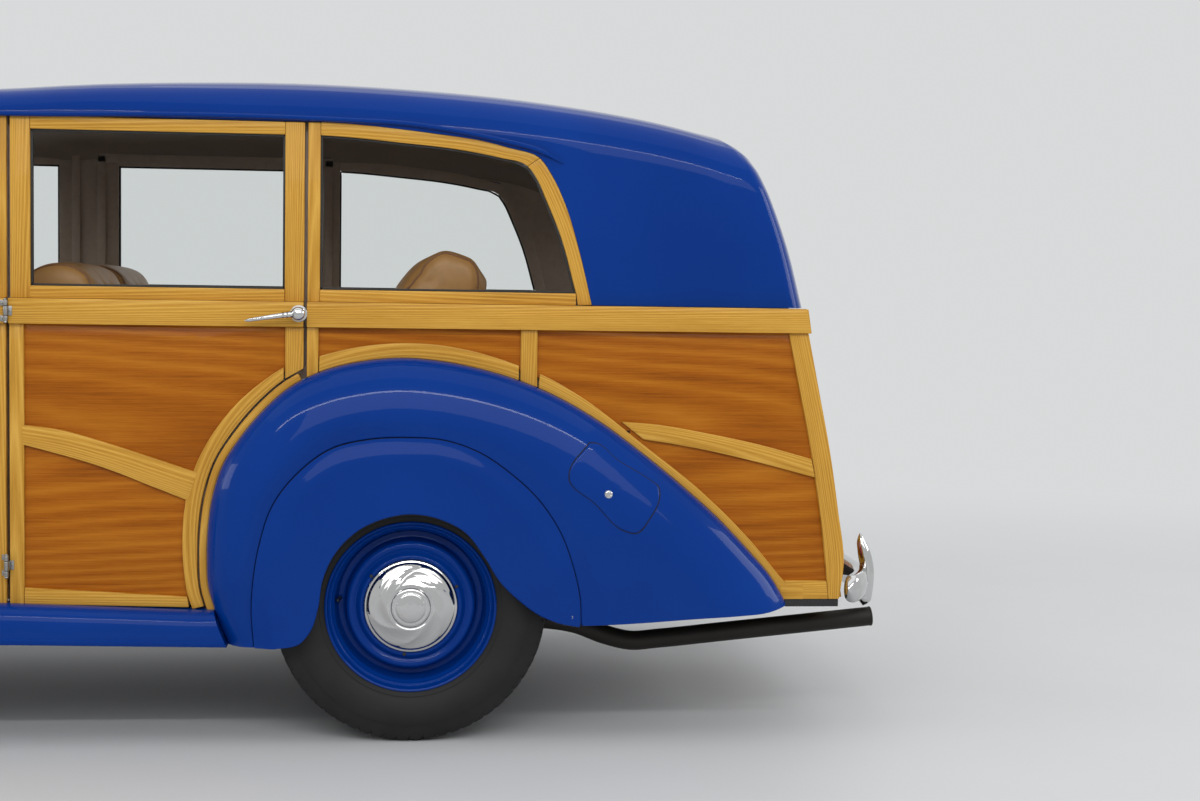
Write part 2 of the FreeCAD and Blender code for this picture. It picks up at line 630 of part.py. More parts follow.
def cowl_solid(thick):
    """The cowl from the bonnet to the front doors, or the space inside it, which is open to the cabin."""
    more = 1 if thick else 0
    low = mm(sill_top) - more
    nose_x, tail_x = mm(f"{bonnet_end}+clearance") + thick, mm(cowl_end) + more
    nose = cowl_section(nose_x, mm(bonnet_rear_half) - thick, mm("bonnet_rear_top") - thick, 60, low)
    tail = cowl_section(tail_x, mm(cowl_half) - thick, mm("belt_top+25") - thick, 25, low)
    return Part.makeLoft([nose, tail], True, True)


def bonnet_line(x):
    """The height of the bonnet's ridge at x."""
    rise = f"(bonnet_rear_top-bonnet_front_top)/({bonnet_end}-{bonnet_start})"
    return f"(bonnet_front_top+(({x})-{bonnet_start})*{rise})"


def cowl(hinges):
    """The cowl, the fixed plates under the bonnet's edges and the rod that both halves of the bonnet hinge on."""
    rail_gap = block((bonnet_end, f"{bonnet_end}+100"), ("-500", "500"), ("0", "frame_top"))
    shell = cut(free(cowl_solid(0)), free(cowl_solid(mm("skin*2"))), rail_gap)
    plates = []
    end = f"({bonnet_end}+clearance)"
    for _, side in SIDES:
        corners = [
            (bonnet_start, "bonnet_front_half-skin"), (bonnet_start, "bonnet_front_half"), (end, bonnet_rear_half),
            (end, f"{bonnet_rear_half}-skin"),
        ]  # fmt: skip
        outline = [(x, f"{side}*({y})") for x, y in corners]
        plates.append(place(plate("XY_Plane", outline, "bonnet_low-clearance-frame_top"), "0", "0", "frame_top"))
    radius = mm("clearance/2-close_fit")
    start = mm(f"{front_axle}-radiator_back")
    from_point = Vector(start, 0, mm(bonnet_line(start)))
    to_point = Vector(mm(end), 0, mm(bonnet_line(end)))
    run = to_point - from_point
    hinge_rod = free(Part.makeCylinder(radius, run.Length + 5, from_point, run))
    node("cowl", join(shell, *plates, cut(hinge_rod, free(cowl_solid(0))), *hinges))


def bonnet_solid(side, thick):
    """One half of the bonnet's outside, or the space inside it."""
    middle = -5 if thick else mm("clearance/2")
    low = mm("bonnet_low") - (5 if thick else 0)
    sections = []
    # x, half width, top, fall to the shoulder, and which way the inside runs past the end
    ends = (
        (bonnet_start, "bonnet_front_half", "bonnet_front_top", 85, -1),
        (bonnet_end, bonnet_rear_half, "bonnet_rear_top", 60, 1),
    )
    for x, half, top, fall, way in ends:
        w, z = mm(half) - thick, mm(top) - thick
        x = mm(x) + (way if thick else 0)
        corners = [(middle, low), (middle, z), (w * 0.6, z - fall * 0.36), (w, z - fall), (w, low)]
        v = [Vector(x, side * y, h) for y, h in corners]
        sections.append(Part.Wire(lines(v[:2]) + arcs(v[1:4]) + lines([v[3], v[4], v[0]])))
    return Part.makeLoft(sections, True, True)


def bonnet():
    for label, side in SIDES:
        node(f"bonnet_{label}", cut(free(bonnet_solid(side, 0)), free(bonnet_solid(side, mm("skin")))))


def windscreen():
    """A flat frame that leans back between the cowl and the roof, and its glass."""
    foot = f"({cowl_half}-upper_step)"
    top = f"({foot}+(cant-belt_top)*tan(rake)*tan(front_taper))"
    high = "((cant-belt_top)/cos(rake))"
    outer = [(f"-{foot}", "-30"), (foot, "-30"), (top, f"{high}+20"), (f"-{top}", f"{high}+20")]
    low_edge, high_edge = "30", f"({high}-stile)"
    hole = [
        (f"-{foot}+stile", low_edge), (f"{foot}-stile", low_edge), (f"{top}-stile", high_edge),
        (f"-{top}+stile", high_edge),
    ]  # fmt: skip
    turn = about((0, 1, 0), mm("rake"))
    frame = plate("YZ_Plane", outer, "wall", back=True)
    pad(frame, "YZ_Plane", hole, "wall", back=True, pocket=True)
    place(frame, cowl_end, "0", "belt_top", turn)
    above = block((front_axle, rear_axle), (f"-{wing_half}", wing_half), ("cant", "cant+300"))
    corners = [
        block((f"{cowl_end}-100", cowl_end), span(f"{side}*({foot}-25)", f"{side}*{wing_half}"), ("belt_top-100", "belt_top-3"))
        for _, side in SIDES
    ]  # fmt: skip
    node("windscreen_frame", cut(frame, free(cowl_solid(-mm("2*close_fit"))), above, *corners))
    pane = plate("YZ_Plane", hole, "glass", back=True)
    return place(pane, f"{cowl_end}-20*cos(rake)", "0", "belt_top+20*sin(rake)", turn)


# ---- wings --------------------------------------------------------------------------------------------------------
def wing_body(chain, x_axle, levels, grow, ruled):
    """A wing's outside, or the space inside it: levels are (distance, drawn in, lift), from the car outwards."""
    foot = AXLE - 155 - (5 if grow else 0)
    last = len(levels) - 1
    wires = []
    for i, (y, depth, lift) in enumerate(levels):
        y -= math.copysign(grow, y) if i == last else 0
        wires.append(Part.Wire(wing_outline(chain, x_axle, y, depth + grow, foot, lift)))
    return Part.makeLoft(wires, True, ruled)


def rear_wings():
    """Each wing is rounded by a quarter circle and reaches through the body's side to its inner face."""
    reach, half, inner = mm("wing_out"), mm("body_half"), mm(inner_face)
    opening = in_plane(-1000, [(XR + x, AXLE + z) for x, z in REAR_OPENING])
    skirt = [*REAR_SKIRT, (1100, -205), (-600, -205), (-600, -99), REAR_OPENING[0]]
    below = arcs(opening) + lines(in_plane(-1000, [(XR + x, AXLE + z) for x, z in skirt]))
    wings = []
    for _, side in SIDES:
        levels = []
        for degrees in (0, 35, 65, 90):
            angle = math.radians(degrees)
            levels.append((side * (half + reach * math.sin(angle)), reach * (1 - math.cos(angle)), 1))
        bodies = []
        for grow in (0, mm("skin")):
            body = wing_body(REAR_WING, XR, levels, grow, False)
            foot = AXLE - 155 - (5 if grow else 0)
            y = side * (inner - (5 if grow else 0))
            collar = slab(wing_outline(REAR_WING, XR, y, grow, foot), y, side * half)
            bodies.append(body.fuse(collar))
        wings.append(cut(free(bodies[0].cut(bodies[1])), free(slab(below, -1000, 1000))))
    node("rear_wings", several(*wings))


def front_wing_levels(side):
    # how far in from the wing's outside, how far drawn in, share of the height
    table = [
        (720, 6, 0.59), (570, 5, 0.67), (440, 3, 0.78), (310, 1, 0.9), (210, 0, 0.98), (110, 0, 1), (55, 8, 1),
        (20, 30, 0.98), (4, 62, 0.96),
    ]  # fmt: skip
    half = mm(wing_half)
    return [(side * (half - out), depth, lift) for out, depth, lift in table]


def front_wings():
    """Swept wings, cut open for the steered wheels and closed against the plates beside the engine."""
    x0, x1 = mm(bonnet_start), mm(f"{bonnet_end}+clearance")
    h0, h1 = mm("bonnet_front_half"), mm(bonnet_rear_half)
    wings = []
    for _, side in SIDES:
        levels = front_wing_levels(side)
        shell = wing_body(FRONT_WING, XF, levels, 0, True)
        shell = shell.cut(wing_body(FRONT_WING, XF, levels, mm("skin"), True))
        plan = [(x0 - 900, 0), (x0 - 900, h0), (x0, h0), (x1, h1), (x1 + 700, h1), (x1 + 700, 0)]
        edges = lines([Vector(x, side * y, 0) for x, y in plan + plan[:1]])
        engine_bay = free(Part.Face(Part.Wire(edges)).extrude(Vector(0, 0, 2000)))
        clear = f"({rail_face}+20)"
        well = rod(well_radius, "600", front_axle, clear if side > 0 else f"-{clear}-600", axle_height)
        wide = (f"-{wing_half}-50", f"{wing_half}+50")
        below_nose = block((f"{front_axle}-900", front_axle), wide, ("0", "tyre_radius-20"))
        below_tail = block((front_axle, f"{front_axle}+1300"), wide, ("0", "sill_low"))
        boards = block((f"{bonnet_end}-30", f"{front_axle}+1400"), wide, ("0", sill_top))
        tools = [engine_bay, free(cowl_solid(0)), well, below_nose, below_tail, boards, *irons("front")]
        wings.append(cut(free(shell), *tools))
    node("front_wings", several(*wings))


def headlamps():
    """A turned shell on a stalk that stands on each front wing."""
    profile = [
        ("0.5", "-150"), ("45", "-140"), ("90", "-90"), ("112", "-20"), ("118", "0"), ("118", "20"), ("100", "32"),
        ("0.5", "45"),
    ]  # fmt: skip
    lamps = []
    for _, side in SIDES:
        y = f"{side}*400"
        lamp = turned(profile, f"{front_axle}-330", y, "lamp_height", about((0, 1, 0), -90))
        stalk = rod("22", "240", f"{front_axle}-290", y, "lamp_height-240", Rotation())
        wing = wing_body(FRONT_WING, XF, front_wing_levels(side), 0, True)
        lamps.append(cut(join(lamp, stalk), free(wing)))
    node("headlamps", several(*lamps))


def radiator():
    """An upright shell round a comb of slats, which two ties hold."""
    half, top = "bonnet_front_half", "bonnet_front_top"

    def outline(inset):
        right = [
            (f"{half}-30-{inset}", f"frame_top+{inset}"), (f"{half}-{inset}", "frame_top+200"),
            (f"{half}-{inset}", f"{top}-95"), (f"{half}*0.7-{inset}", f"{top}-25-{inset}"), ("60", f"{top}-{inset}"),
        ]  # fmt: skip
        return right + [(f"-({y})", z) for y, z in reversed(right)]

    back = f"{front_axle}-radiator_back"
    shell = plate("YZ_Plane", outline("0"), "radiator_depth", back=True)
    pad(shell, "YZ_Plane", outline("radiator_rim"), "radiator_depth", back=True, pocket=True)
    core = place(plate("YZ_Plane", outline("radiator_rim"), "radiator_depth", back=True), back)
    front = f"{back}-radiator_depth"
    pitch = f"({half}-radiator_rim)/6.5"
    tall = ("frame_top", top)
    comb = [block((f"{front}+15", f"{front}+35"), (f"{i}*{pitch}-4", f"{i}*{pitch}+4"), tall) for i in range(-6, 7)]
    for z in ("frame_top+100", f"{top}-205"):
        comb.append(block((f"{front}+35", f"{front}+45"), (f"-{half}", half), (z, f"{z}+20")))
    node("radiator", join(place(shell, back), meet(join(*comb), core)))


# ---- chassis ------------------------------------------------------------------------------------------------------
def chassis():
    """Two rails with crossmembers; some reach out to the body's sills, and two carry the engine from below."""
    rails = []
    for _, side in SIDES:
        walls = (f"{side}*rail_out-rail_width/2", f"{side}*rail_out+rail_width/2")
        rails.append(block((rails_start, rails_end), walls, (rail_low, "frame_top")))
    full = (rail_low, "frame_top")
    under = (f"{rail_low}-30", rail_low)
    # front face, half length, heights
    members = [
        (f"{rails_start}+140", "rail_out", full), (f"{front_axle}+150", "rail_out", under),
        (f"{front_axle}+700", "rail_out", under), (front_hinge, sill_front, full),
        (f"{post_front}+10", floor_half, full), (f"{rear_axle}-640", floor_half, full),
        (f"{rear_axle}+520", "rail_out", full), (f"{rails_end}-rail_width", "rail_out", full),
    ]  # fmt: skip
    crosses = [block((x, f"{x}+rail_width"), (f"-{half}", half), heights) for x, half, heights in members]
    holes = []
    for _, side in SIDES:
        for x in (f"{rails_end}-50", f"{rails_end}-50-tow_long"):
            holes.append(rod("tow_hole", "rail_depth+10", x, f"{side}*rail_out", f"{rail_low}-5", Rotation()))
    node("chassis_frame", cut(join(*rails, *crosses), *holes))


def floor():
    """A flat floor that narrows with the front doors, and a housing over each rear wheel."""
    start, end = cowl_end, f"({rear_axle}+tail_low-wall-40)"
    edge = [(start, f"{sill_front}-4"), (front_hinge, sill_front), (post_front, floor_half), (end, floor_half)]
    outline = edge + [(x, f"0-({y})") for x, y in reversed(edge)]
    deck = place(plate("XY_Plane", outline, "floor_thick"), "0", "0", "frame_top")
    wall = f"({rear_wheel_y}-tyre_width/2-20)"
    houses, wells = [], []
    for _, side in SIDES:
        low, _ = span(f"{side}*({wall}-skin)", f"{side}*{inner_face}")
        houses.append(rod(f"{well_radius}+skin", f"{inner_face}-{wall}+skin", rear_axle, low, axle_height))
        low, _ = span(f"{side}*{wall}", f"{side}*body_half")
        wells.append(rod(well_radius, f"body_half-{wall}", rear_axle, low, axle_height))
    below = block((f"{rear_axle}-600", f"{rear_axle}+600"), (f"-{wing_half}", wing_half), ("-500", "frame_top"))
    node("floor", cut(join(deck, *houses), *wells, below))


def rear_suspension():
    """The rear axle with its stubs and differential, on two leaf springs hung from the rails."""
    half = f"({rear_wheel_y}-70)"
    tube = rod("38", f"2*{half}", rear_axle, f"-{half}", axle_height)
    stubs = rod("stub_radius", f"2*{rear_wheel_y}+30", rear_axle, f"-({rear_wheel_y}+15)", axle_height)
    case = rod("130", "180", rear_axle, "-90", axle_height)
    pieces = [tube, stubs, case]
    for _, side in SIDES:
        middle = f"{side}*({rail_face}+70)"
        walls = (f"{middle}-30", f"{middle}+30")
        low = "(tyre_radius+20)"
        pieces.append(block((f"{rear_axle}-500", f"{rear_axle}+500"), walls, (low, f"{low}+25")))
        hanger = span(f"{side}*{rail_face}", f"{side}*({rail_face}+100)")
        for x in (-530, 470):
            ends = (f"{rear_axle}+({x})", f"{rear_axle}+({x})+60")
            pieces.append(block(ends, hanger, (low, "frame_top-10")))
    node("rear_axle", join(*pieces))


def front_suspension():
    """A beam under the rails with two arms out to each kingpin, and the knuckles with their stub axles."""
    out = f"({rail_face}+30)"
    beam = block((f"{front_axle}-50", f"{front_axle}+50"), (f"-{out}", out), ("tyre_radius-35", rail_low))
    pieces = [beam]
    lower, upper = "(tyre_radius-110)", "(tyre_radius+80)"
    kingpin = f"({front_wheel_y}-kingpin_in)"
    for label, side in SIDES:
        reach = span(f"{side}*{rail_face}", f"{side}*({kingpin}+18)")
        for z in (lower, upper):
            pieces.append(block((f"{front_axle}-25", f"{front_axle}+25"), reach, (z, f"{z}+20")))
        upright = span(f"{side}*{rail_face}", f"{side}*{out}")
        pieces.append(block((f"{front_axle}-30", f"{front_axle}+30"), upright, (lower, f"{upper}+20")))
        foot = f"{lower}+20+close_fit"
        post = rod("22", f"{upper}-{lower}-20-2*close_fit", front_axle, f"{side}*{kingpin}", foot, Rotation())
        low, _ = span(f"{side}*{kingpin}", f"{side}*({kingpin}+kingpin_in+15)")
        stub = rod("stub_radius", "kingpin_in+15", front_axle, low, axle_height)
        node(f"knuckle_{label}", join(post, stub))
    node("front_axle", join(*pieces))


def engine():
    node("engine", block((f"{front_axle}+60", f"{front_axle}+820"), ("-170", "170"), (rail_low, "bonnet_low+235")))


def exhaust():
    """A pipe under the left side, hung from the floor, that dips behind the wheel and rises to its tip."""
    y = -mm(f"{sill_front}-exhaust_radius-5")
    tip = mm("rear_overhang") - 4
    path = [(-900, -25), (480, -120), (620, -150), (700, -143), (tip, -93)]
    points = [Vector(XR + x, y, AXLE + z) for x, z in path]
    profile = Part.Wire(Part.makeCircle(mm("exhaust_radius"), points[0], points[1] - points[0]))
    pipe = Part.Wire(lines(points)).makePipeShell([profile], True, False, 1)
    hangers = []
    for x, z in ((-560, "tyre_radius-50"), (540, "tyre_radius-130")):
        ends = (f"{rear_axle}+({x})", f"{rear_axle}+({x})+20")
        hangers.append(block(ends, (str(y - 10), str(y + 10)), (z, "frame_top")))
    node("exhaust", join(free(pipe), *hangers))


# ---- bumpers ------------------------------------------------------------------------------------------------------
def irons(end):
    """The two bars that carry a bumper from the ends of the chassis rails."""
    if end == "rear":
        x = (rails_end, f"({rear_axle}+rear_overhang-55)")
    else:
        x = (f"({front_axle}-front_overhang+55)", rails_start)
    heights = ("bumper_height-20", "bumper_height+25")
    return [block(x, (f"{side}*rail_out-20", f"{side}*rail_out+20"), heights) for _, side in SIDES]


def bumpers():
    """Blades that turn in at their ends, each on two irons and with two upright overriders."""
    rear_face, front_face = f"({rear_axle}+rear_overhang-25)", f"({front_axle}-front_overhang+25)"
    for name, x, way in (("rear", rear_face, -1), ("front", front_face, 1)):
        back, bend = f"({x}+{way}*bumper_thick)", f"({way}*40)"
        right = [(x, "500"), (f"{x}+{bend}", "800"), (f"{back}+{bend}", "800"), (back, "500")]
        outline = right + [(u, f"-{v}") for u, v in reversed(right)]
        blade = place(plate("XY_Plane", outline, "bumper_depth"), "0", "0", "bumper_height-bumper_depth/2")
        pieces = [blade, *irons(name)]
        for _, side in SIDES:
            horn = span(f"{x}-{way}*25", back)
            walls = (f"{side}*590-30", f"{side}*590+30")
            pieces.append(block(horn, walls, ("bumper_height-50", "bumper_height+150")))
        node(f"{name}_bumper", join(*pieces))


# ---- inside -------------------------------------------------------------------------------------------------------
def seats():
    """Two separate seats in front and a bench behind: x from the rear axle, z from the floor."""
    front = [
        (-1420, 0), (-960, 0), (-900, 245), (-800, 680), (-850, 712), (-920, 700), (-990, 315), (-1010, 275),
        (-1440, 315), (-1460, 265),
    ]  # fmt: skip
    rear = [
        (-420, 0), (40, 0), (90, 245), (180, 730), (120, 765), (50, 750), (-30, 355), (-60, 285), (-440, 325),
        (-460, 275),
    ]  # fmt: skip

    def seat(profile, edge, width):
        outline = [(f"{rear_axle}+({x})", f"{floor_top}+{z}") for x, z in profile]
        return place(plate("XZ_Plane", outline, width), "0", edge)

    outer, bench = f"({floor_half}-110)", f"({rear_wheel_y}-tyre_width/2-20-skin-38)"
    node("front_seats", several(seat(front, "-30", f"{outer}-30"), seat(front, outer, f"{outer}-30")))
    node("rear_seat", seat(rear, bench, f"2*{bench}"))


def cockpit():
    """The dashboard, and the steering wheel on its column, which leans from the cowl's front wall."""
    x = cowl_end
    half = f"({cowl_half}-wall-24)"
    board = block((x, f"{x}+70"), (f"-{half}", half), ("belt_top-200", "belt_top-10"))
    lean = 60
    tilt = about((0, 1, 0), lean)
    centre = (f"({x}+280)", "320", "(belt_top-115)")

    def down_column(distance):
        return f"{centre[0]}-({distance})*sin({lean})", centre[1], f"{centre[2]}-({distance})*cos({lean})"

    ring = doc.addObject("Part::Torus", "ring")
    ring.Radius1 = 215
    ring.Radius2 = 13
    place(ring, *centre, tilt)
    boss = rod("35", "40", *down_column(40), tilt)
    hub = Vector(*[mm(text) for text in down_column(12)])
    spokes = []
    for angle in (0, 120, 240):
        out = tilt.multVec(Vector(math.cos(math.radians(angle)), math.sin(math.radians(angle)), 0))
        spokes.append(free(Part.makeCylinder(7, 212, hub, out)))
    node("steering_wheel", join(ring, boss, *spokes))
    column = rod("22", "530", *down_column("40+530+close_fit"), tilt)
    wall = mm(f"{bonnet_end}+clearance+skin*2")
    ahead = free(Part.makeBox(600, 2000, 2000, Vector(wall - 600, -1000, 0)))
    hanger = block((f"{x}+10", f"{x}+50"), ("280", "360"), ("belt_top-310", "belt_top-195"))
    node("dashboard", join(board, hanger, cut(column, ahead)))


def main():
    posts = {label: [] for label, _ in SIDES}
    cowl_pieces = []
    wheels()
    rear_doors(posts)
    front_doors(cowl_pieces)
    door_posts(posts)
    panes = quarter_panels()
    running_boards()
    roof_and_hatch()
    tail_lower()
    cowl(cowl_pieces)
    node("fixed_glass", several(windscreen(), *panes))
    bonnet()
    rear_wings()
    front_wings()
    headlamps()
    radiator()
    chassis()
    floor()
    rear_suspension()
    front_suspension()
    engine()
    exhaust()
    bumpers()
    seats()
    cockpit()


main()
doc.recompute()
os.makedirs("parts", exist_ok=True)
failed = [obj.Name for obj in doc.Objects if "Invalid" in obj.State or "Error" in obj.State]
if failed:
    raise RuntimeError(f"these objects failed: {failed}")
for name, obj in nodes.items():
    if obj.Shape.isNull() or not obj.Shape.isValid():
        raise RuntimeError(f"{name} has no valid shape")
    obj.Shape.exportStep(f"parts/{name}.step")
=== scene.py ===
import json
import math

import bmesh
import bpy
import numpy as np
from mathutils import Matrix, Vector
from mathutils.bvhtree import BVHTree

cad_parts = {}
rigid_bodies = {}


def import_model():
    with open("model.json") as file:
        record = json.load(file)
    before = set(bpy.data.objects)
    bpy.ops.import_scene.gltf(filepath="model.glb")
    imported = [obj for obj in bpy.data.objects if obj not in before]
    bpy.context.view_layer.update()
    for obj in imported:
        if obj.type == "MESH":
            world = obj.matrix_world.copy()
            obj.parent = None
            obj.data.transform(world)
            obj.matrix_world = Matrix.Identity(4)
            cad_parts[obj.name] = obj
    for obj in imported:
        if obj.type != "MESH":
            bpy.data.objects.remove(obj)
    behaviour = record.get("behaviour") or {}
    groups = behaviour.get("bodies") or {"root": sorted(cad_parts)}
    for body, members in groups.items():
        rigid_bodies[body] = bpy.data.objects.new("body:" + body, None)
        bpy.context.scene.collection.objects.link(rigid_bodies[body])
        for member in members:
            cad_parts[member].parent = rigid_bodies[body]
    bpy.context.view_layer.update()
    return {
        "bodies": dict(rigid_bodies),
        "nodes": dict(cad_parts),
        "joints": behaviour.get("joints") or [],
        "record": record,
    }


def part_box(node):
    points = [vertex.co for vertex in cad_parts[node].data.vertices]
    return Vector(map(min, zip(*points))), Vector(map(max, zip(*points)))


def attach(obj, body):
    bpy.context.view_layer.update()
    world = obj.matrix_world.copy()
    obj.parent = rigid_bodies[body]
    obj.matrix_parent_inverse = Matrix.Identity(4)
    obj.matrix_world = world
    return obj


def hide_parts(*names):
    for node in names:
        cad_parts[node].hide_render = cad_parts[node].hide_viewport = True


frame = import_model()
nodes = frame["nodes"]
sides = (("left", -1), ("right", 1))


def nodeBox(name):
    low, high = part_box(name)
    return np.array(low), np.array(high)


def middle(name):
    low, high = nodeBox(name)
    return (low + high) / 2


axleX = middle("tyre_rear_left")[0]

# distances out from the middle of the car, to the faces of the body's side
side = {
    "frame": 0.775,  # outside of the door frames
    "belt": 0.79,
    "upper": 0.76,  # window frames
    "panel": 0.764,  # inset panels
    "lining": 0.744,  # back of the ash, where the lining starts
    "inner": 0.73,
}
channel = side["upper"] - 0.009, side["inner"] + 0.008  # faces of the black channels round the panes
sillProud, tuck, lap = 0.007, 0.012, 0.008  # a sill past its frame, and how far a panel goes behind arch and belt
screenRake, doorTurn = 25, 5.5  # degrees
levels = {"doorFoot": 0.36, "beltLow": 1.075, "beltTop": 1.14, "ledge": 1.172, "head": 1.567, "cant": 1.6}


class Link:
    # a socket that takes part in sums
    def __init__(self, finish, socket):
        self.finish, self.socket = finish, socket

    def maths(self, operation, other, swapped=False):
        pair = (other, self) if swapped else (self, other)
        return self.finish.node("Math", {"operation": operation}, {0: pair[0], 1: pair[1]})

    def __add__(self, other):
        return self.maths("ADD", other)

    def __sub__(self, other):
        return self.maths("SUBTRACT", other)

    def __rsub__(self, other):
        return self.maths("SUBTRACT", other, True)

    def __mul__(self, other):
        return self.maths("MULTIPLY", other)

    def __pow__(self, other):
        return self.maths("POWER", other)

    __radd__, __rmul__ = __add__, __mul__


class Finish:
    # a material with one Principled shader; constant values go straight to its sockets
    def __init__(self, name, **constants):
        self.material = bpy.data.materials.new(name)
        self.material.use_nodes = True
        self.tree = self.material.node_tree
        self.shader = self.tree.nodes["Principled BSDF"]
        self.set(**constants)

    def set(self, **values):
        for name, value in values.items():
            words = "".join(" " + c if c.isupper() else c for c in name).title()
            words = words.replace("Ior", "IOR")
            self.join(self.shader.inputs[words], value)

    def join(self, socket, value):
        if isinstance(value, Link):
            self.tree.links.new(value.socket, socket)
        elif socket.type == "RGBA" and len(value) == 3:
            socket.default_value = (*value, 1)
        else:
            socket.default_value = value

    def node(self, kind, settings=None, inputs=None, output=0):
        made = self.tree.nodes.new("ShaderNode" + kind)
        for name, value in (settings or {}).items():
            if name == "stops":
                ramp = made.color_ramp
                while len(ramp.elements) < len(value):
                    ramp.elements.new(1)
                for element, (at, colour) in zip(ramp.elements, value):
                    element.position, element.color = at, (*colour, 1)
            else:
                setattr(made, name, value)
        for name, value in (inputs or {}).items():
            self.join(made.inputs[name], value)
        return Link(self, made.outputs[output])

    def noise(self, at, scale, detail=3.0, roughness=0.5, **more):
        return self.node(
            "TexNoise", None, {"Vector": at, "Scale": scale, "Detail": detail, "Roughness": roughness, **more}
        )

    def bump(self, height, strength, distance):
        self.set(normal=self.node("Bump", None, {"Height": height, "Strength": strength, "Distance": distance}))

    def mix(self, factor, first, second):
        return self.node("Mix", {"data_type": "RGBA"}, {0: factor, 6: first, 7: second}, 2)

    def ramp(self, factor, *stops):
        return self.node("ValToRGB", {"stops": stops}, {0: factor})

    def scaled(self, at, *scale):
        return self.node("VectorMath", {"operation": "MULTIPLY"}, {0: at, 1: scale})

    def position(self):
        return self.node("NewGeometry")


finishes = {}
# the blue in a shaded tone and a lit tone; the paint drifts between them in patches of painted light and shade
paint = {"deep": (0.0006, 0.024, 0.18), "lit": (0.001, 0.04, 0.262)}


def paintFinish(name="bluePaint", depth=1.0):
    f = Finish(name, roughness=0.22, coatWeight=1.0, coatRoughness=0.015, coatIor=1.19, specularIorLevel=0.02)
    # mask for patches of painted light and shade, mixing the shaded and lit tones of the blue
    cloud = f.noise(f.position(), 2.2, 2.0)
    peel = f.noise(f.position(), 420.0, 1.0)
    # depth below 1 darkens both tones, which gives a copy of the paint with painted shade
    deep, lit = (tuple(c * depth for c in paint[key]) for key in ("deep", "lit"))
    f.set(baseColor=f.mix(cloud, deep, lit), roughness=0.16 + cloud * 0.1)
    f.bump(peel, 0.012, 0.0006)
    return f.material


woods = {
    "ash": {
        "pale": (0.66, 0.375, 0.07), "mid": (0.5, 0.25, 0.032), "dark": (0.28, 0.115, 0.01),
        "curve": 95.0, "slope": 3.0, "run": 0.2, "rings": 34.0, "wander": 0.05, "fine": 230.0, "line": 0.34,
    },
    "mahogany": {
        "pale": (0.46, 0.16, 0.01), "mid": (0.33, 0.09, 0.003), "dark": (0.15, 0.03, 0.001),
        "curve": 9.0, "slope": 0.6, "run": 0.32, "rings": 13.0, "wander": 0.16, "fine": 170.0, "line": 0.27,
    },
    "dash": {
        "pale": (0.2, 0.075, 0.018), "mid": (0.11, 0.035, 0.01), "dark": (0.05, 0.015, 0.006),
        "curve": 20.0, "slope": 2.0, "run": 0.6, "rings": 9.0, "wander": 0.8, "fine": 190.0, "line": 0.3,
    },
}


def woodFinish(name):
    # growth rings are contours of a bowl: cathedrals along the middle of a board, straight lines at its edges
    w = woods[name]
    f = Finish(name + "Wood", coatWeight=0.9, coatRoughness=0.05, coatIor=1.19, specularIorLevel=0.05)
    grain = f.node("UVMap", {"uv_map": "grain"})
    along = f.node("SeparateXYZ", None, {0: grain}, 0)
    across = f.node("SeparateXYZ", None, {0: grain}, 1)
    drift = f.noise(f.scaled(grain, 1.3, 5.0, 1.0), 1.0, 2.0, 0.5)
    wander = f.noise(f.scaled(grain, 5.0, 30.0, 1.0), 1.0, 2.0)
    bowl = across * across * w["curve"] + across * w["slope"] + along * w["run"] + drift * w["wander"] + wander * 0.012
    wave = f.node("Math", {"operation": "PINGPONG"}, {0: bowl * w["rings"], 1: 1.0})
    streaks = f.noise(f.scaled(grain, 3.5, w["fine"], 1.0), 1.0, 4.0, 0.66)
    pores = f.noise(f.scaled(grain, 16.0, w["fine"] * 4, 1.0), 1.0, 2.0, 0.7)
    slow = f.noise(f.scaled(grain, 1.4, 9.0, 1.0), 1.0, 2.0)
    tone = wave ** 1.6 * w["line"] + streaks * 0.7 + slow * 0.46 - 0.22
    colour = f.ramp(tone, (0.1, w["dark"]), (0.4, w["mid"]), (0.72, w["pale"]))
    dust = f.ramp(pores, (0.38, w["dark"]), (0.54, w["pale"]))
    f.set(baseColor=f.mix(0.16, colour, dust), roughness=0.3 + streaks * 0.16)
    f.bump(streaks * 0.6 + wave * 0.2 + pores * 0.3, 0.1, 0.0006)
    return f.material


def plainFinish(name, colour, spread, roughness, scale=40.0, bump=0.1, depth=0.0006, **more):
    # a colour that drifts by spread, with a fine bump
    f = Finish(name, **more)
    drift = f.noise(f.position(), scale * 0.12, 3.0)
    fine = f.noise(f.position(), scale * 6, 2.0)
    darker = tuple(c * (1 - spread) for c in colour)
    f.set(baseColor=f.mix(drift, darker, colour), roughness=roughness * 0.85 + fine * roughness * 0.3)
    f.bump(fine, bump, depth)
    return f.material


def leatherFinish(name, colour, worn):
    f = Finish(name, specularIorLevel=0.45, coatWeight=0.08, coatRoughness=0.35)
    cells = f.node("TexVoronoi", None, {"Vector": f.position(), "Scale": 520.0, "Randomness": 1.0})
    creases = f.noise(f.position(), 28.0, 4.0, 0.6, Distortion=1.2)
    cloud = f.noise(f.position(), 5.0, 3.0)
    shade = f.mix(cloud, colour, worn)
    f.set(
        baseColor=f.mix(creases ** 3.0 * 0.8, shade, tuple(c * 0.45 for c in colour)),
        roughness=0.38 + creases * 0.2,
    )
    f.bump(cells * 0.5 + creases * 0.8, 0.25, 0.0012)
    return f.material


def chromeFinish():
    f = Finish("chrome", metallic=1.0)
    haze = f.noise(f.position(), 9.0, 3.0)
    f.set(baseColor=f.mix(haze, (0.5, 0.5, 0.505), (0.6, 0.6, 0.59)), roughness=0.035 + haze * 0.05)
    f.bump(f.noise(f.position(), 60.0, 1.0), 0.02, 0.0005)
    return f.material


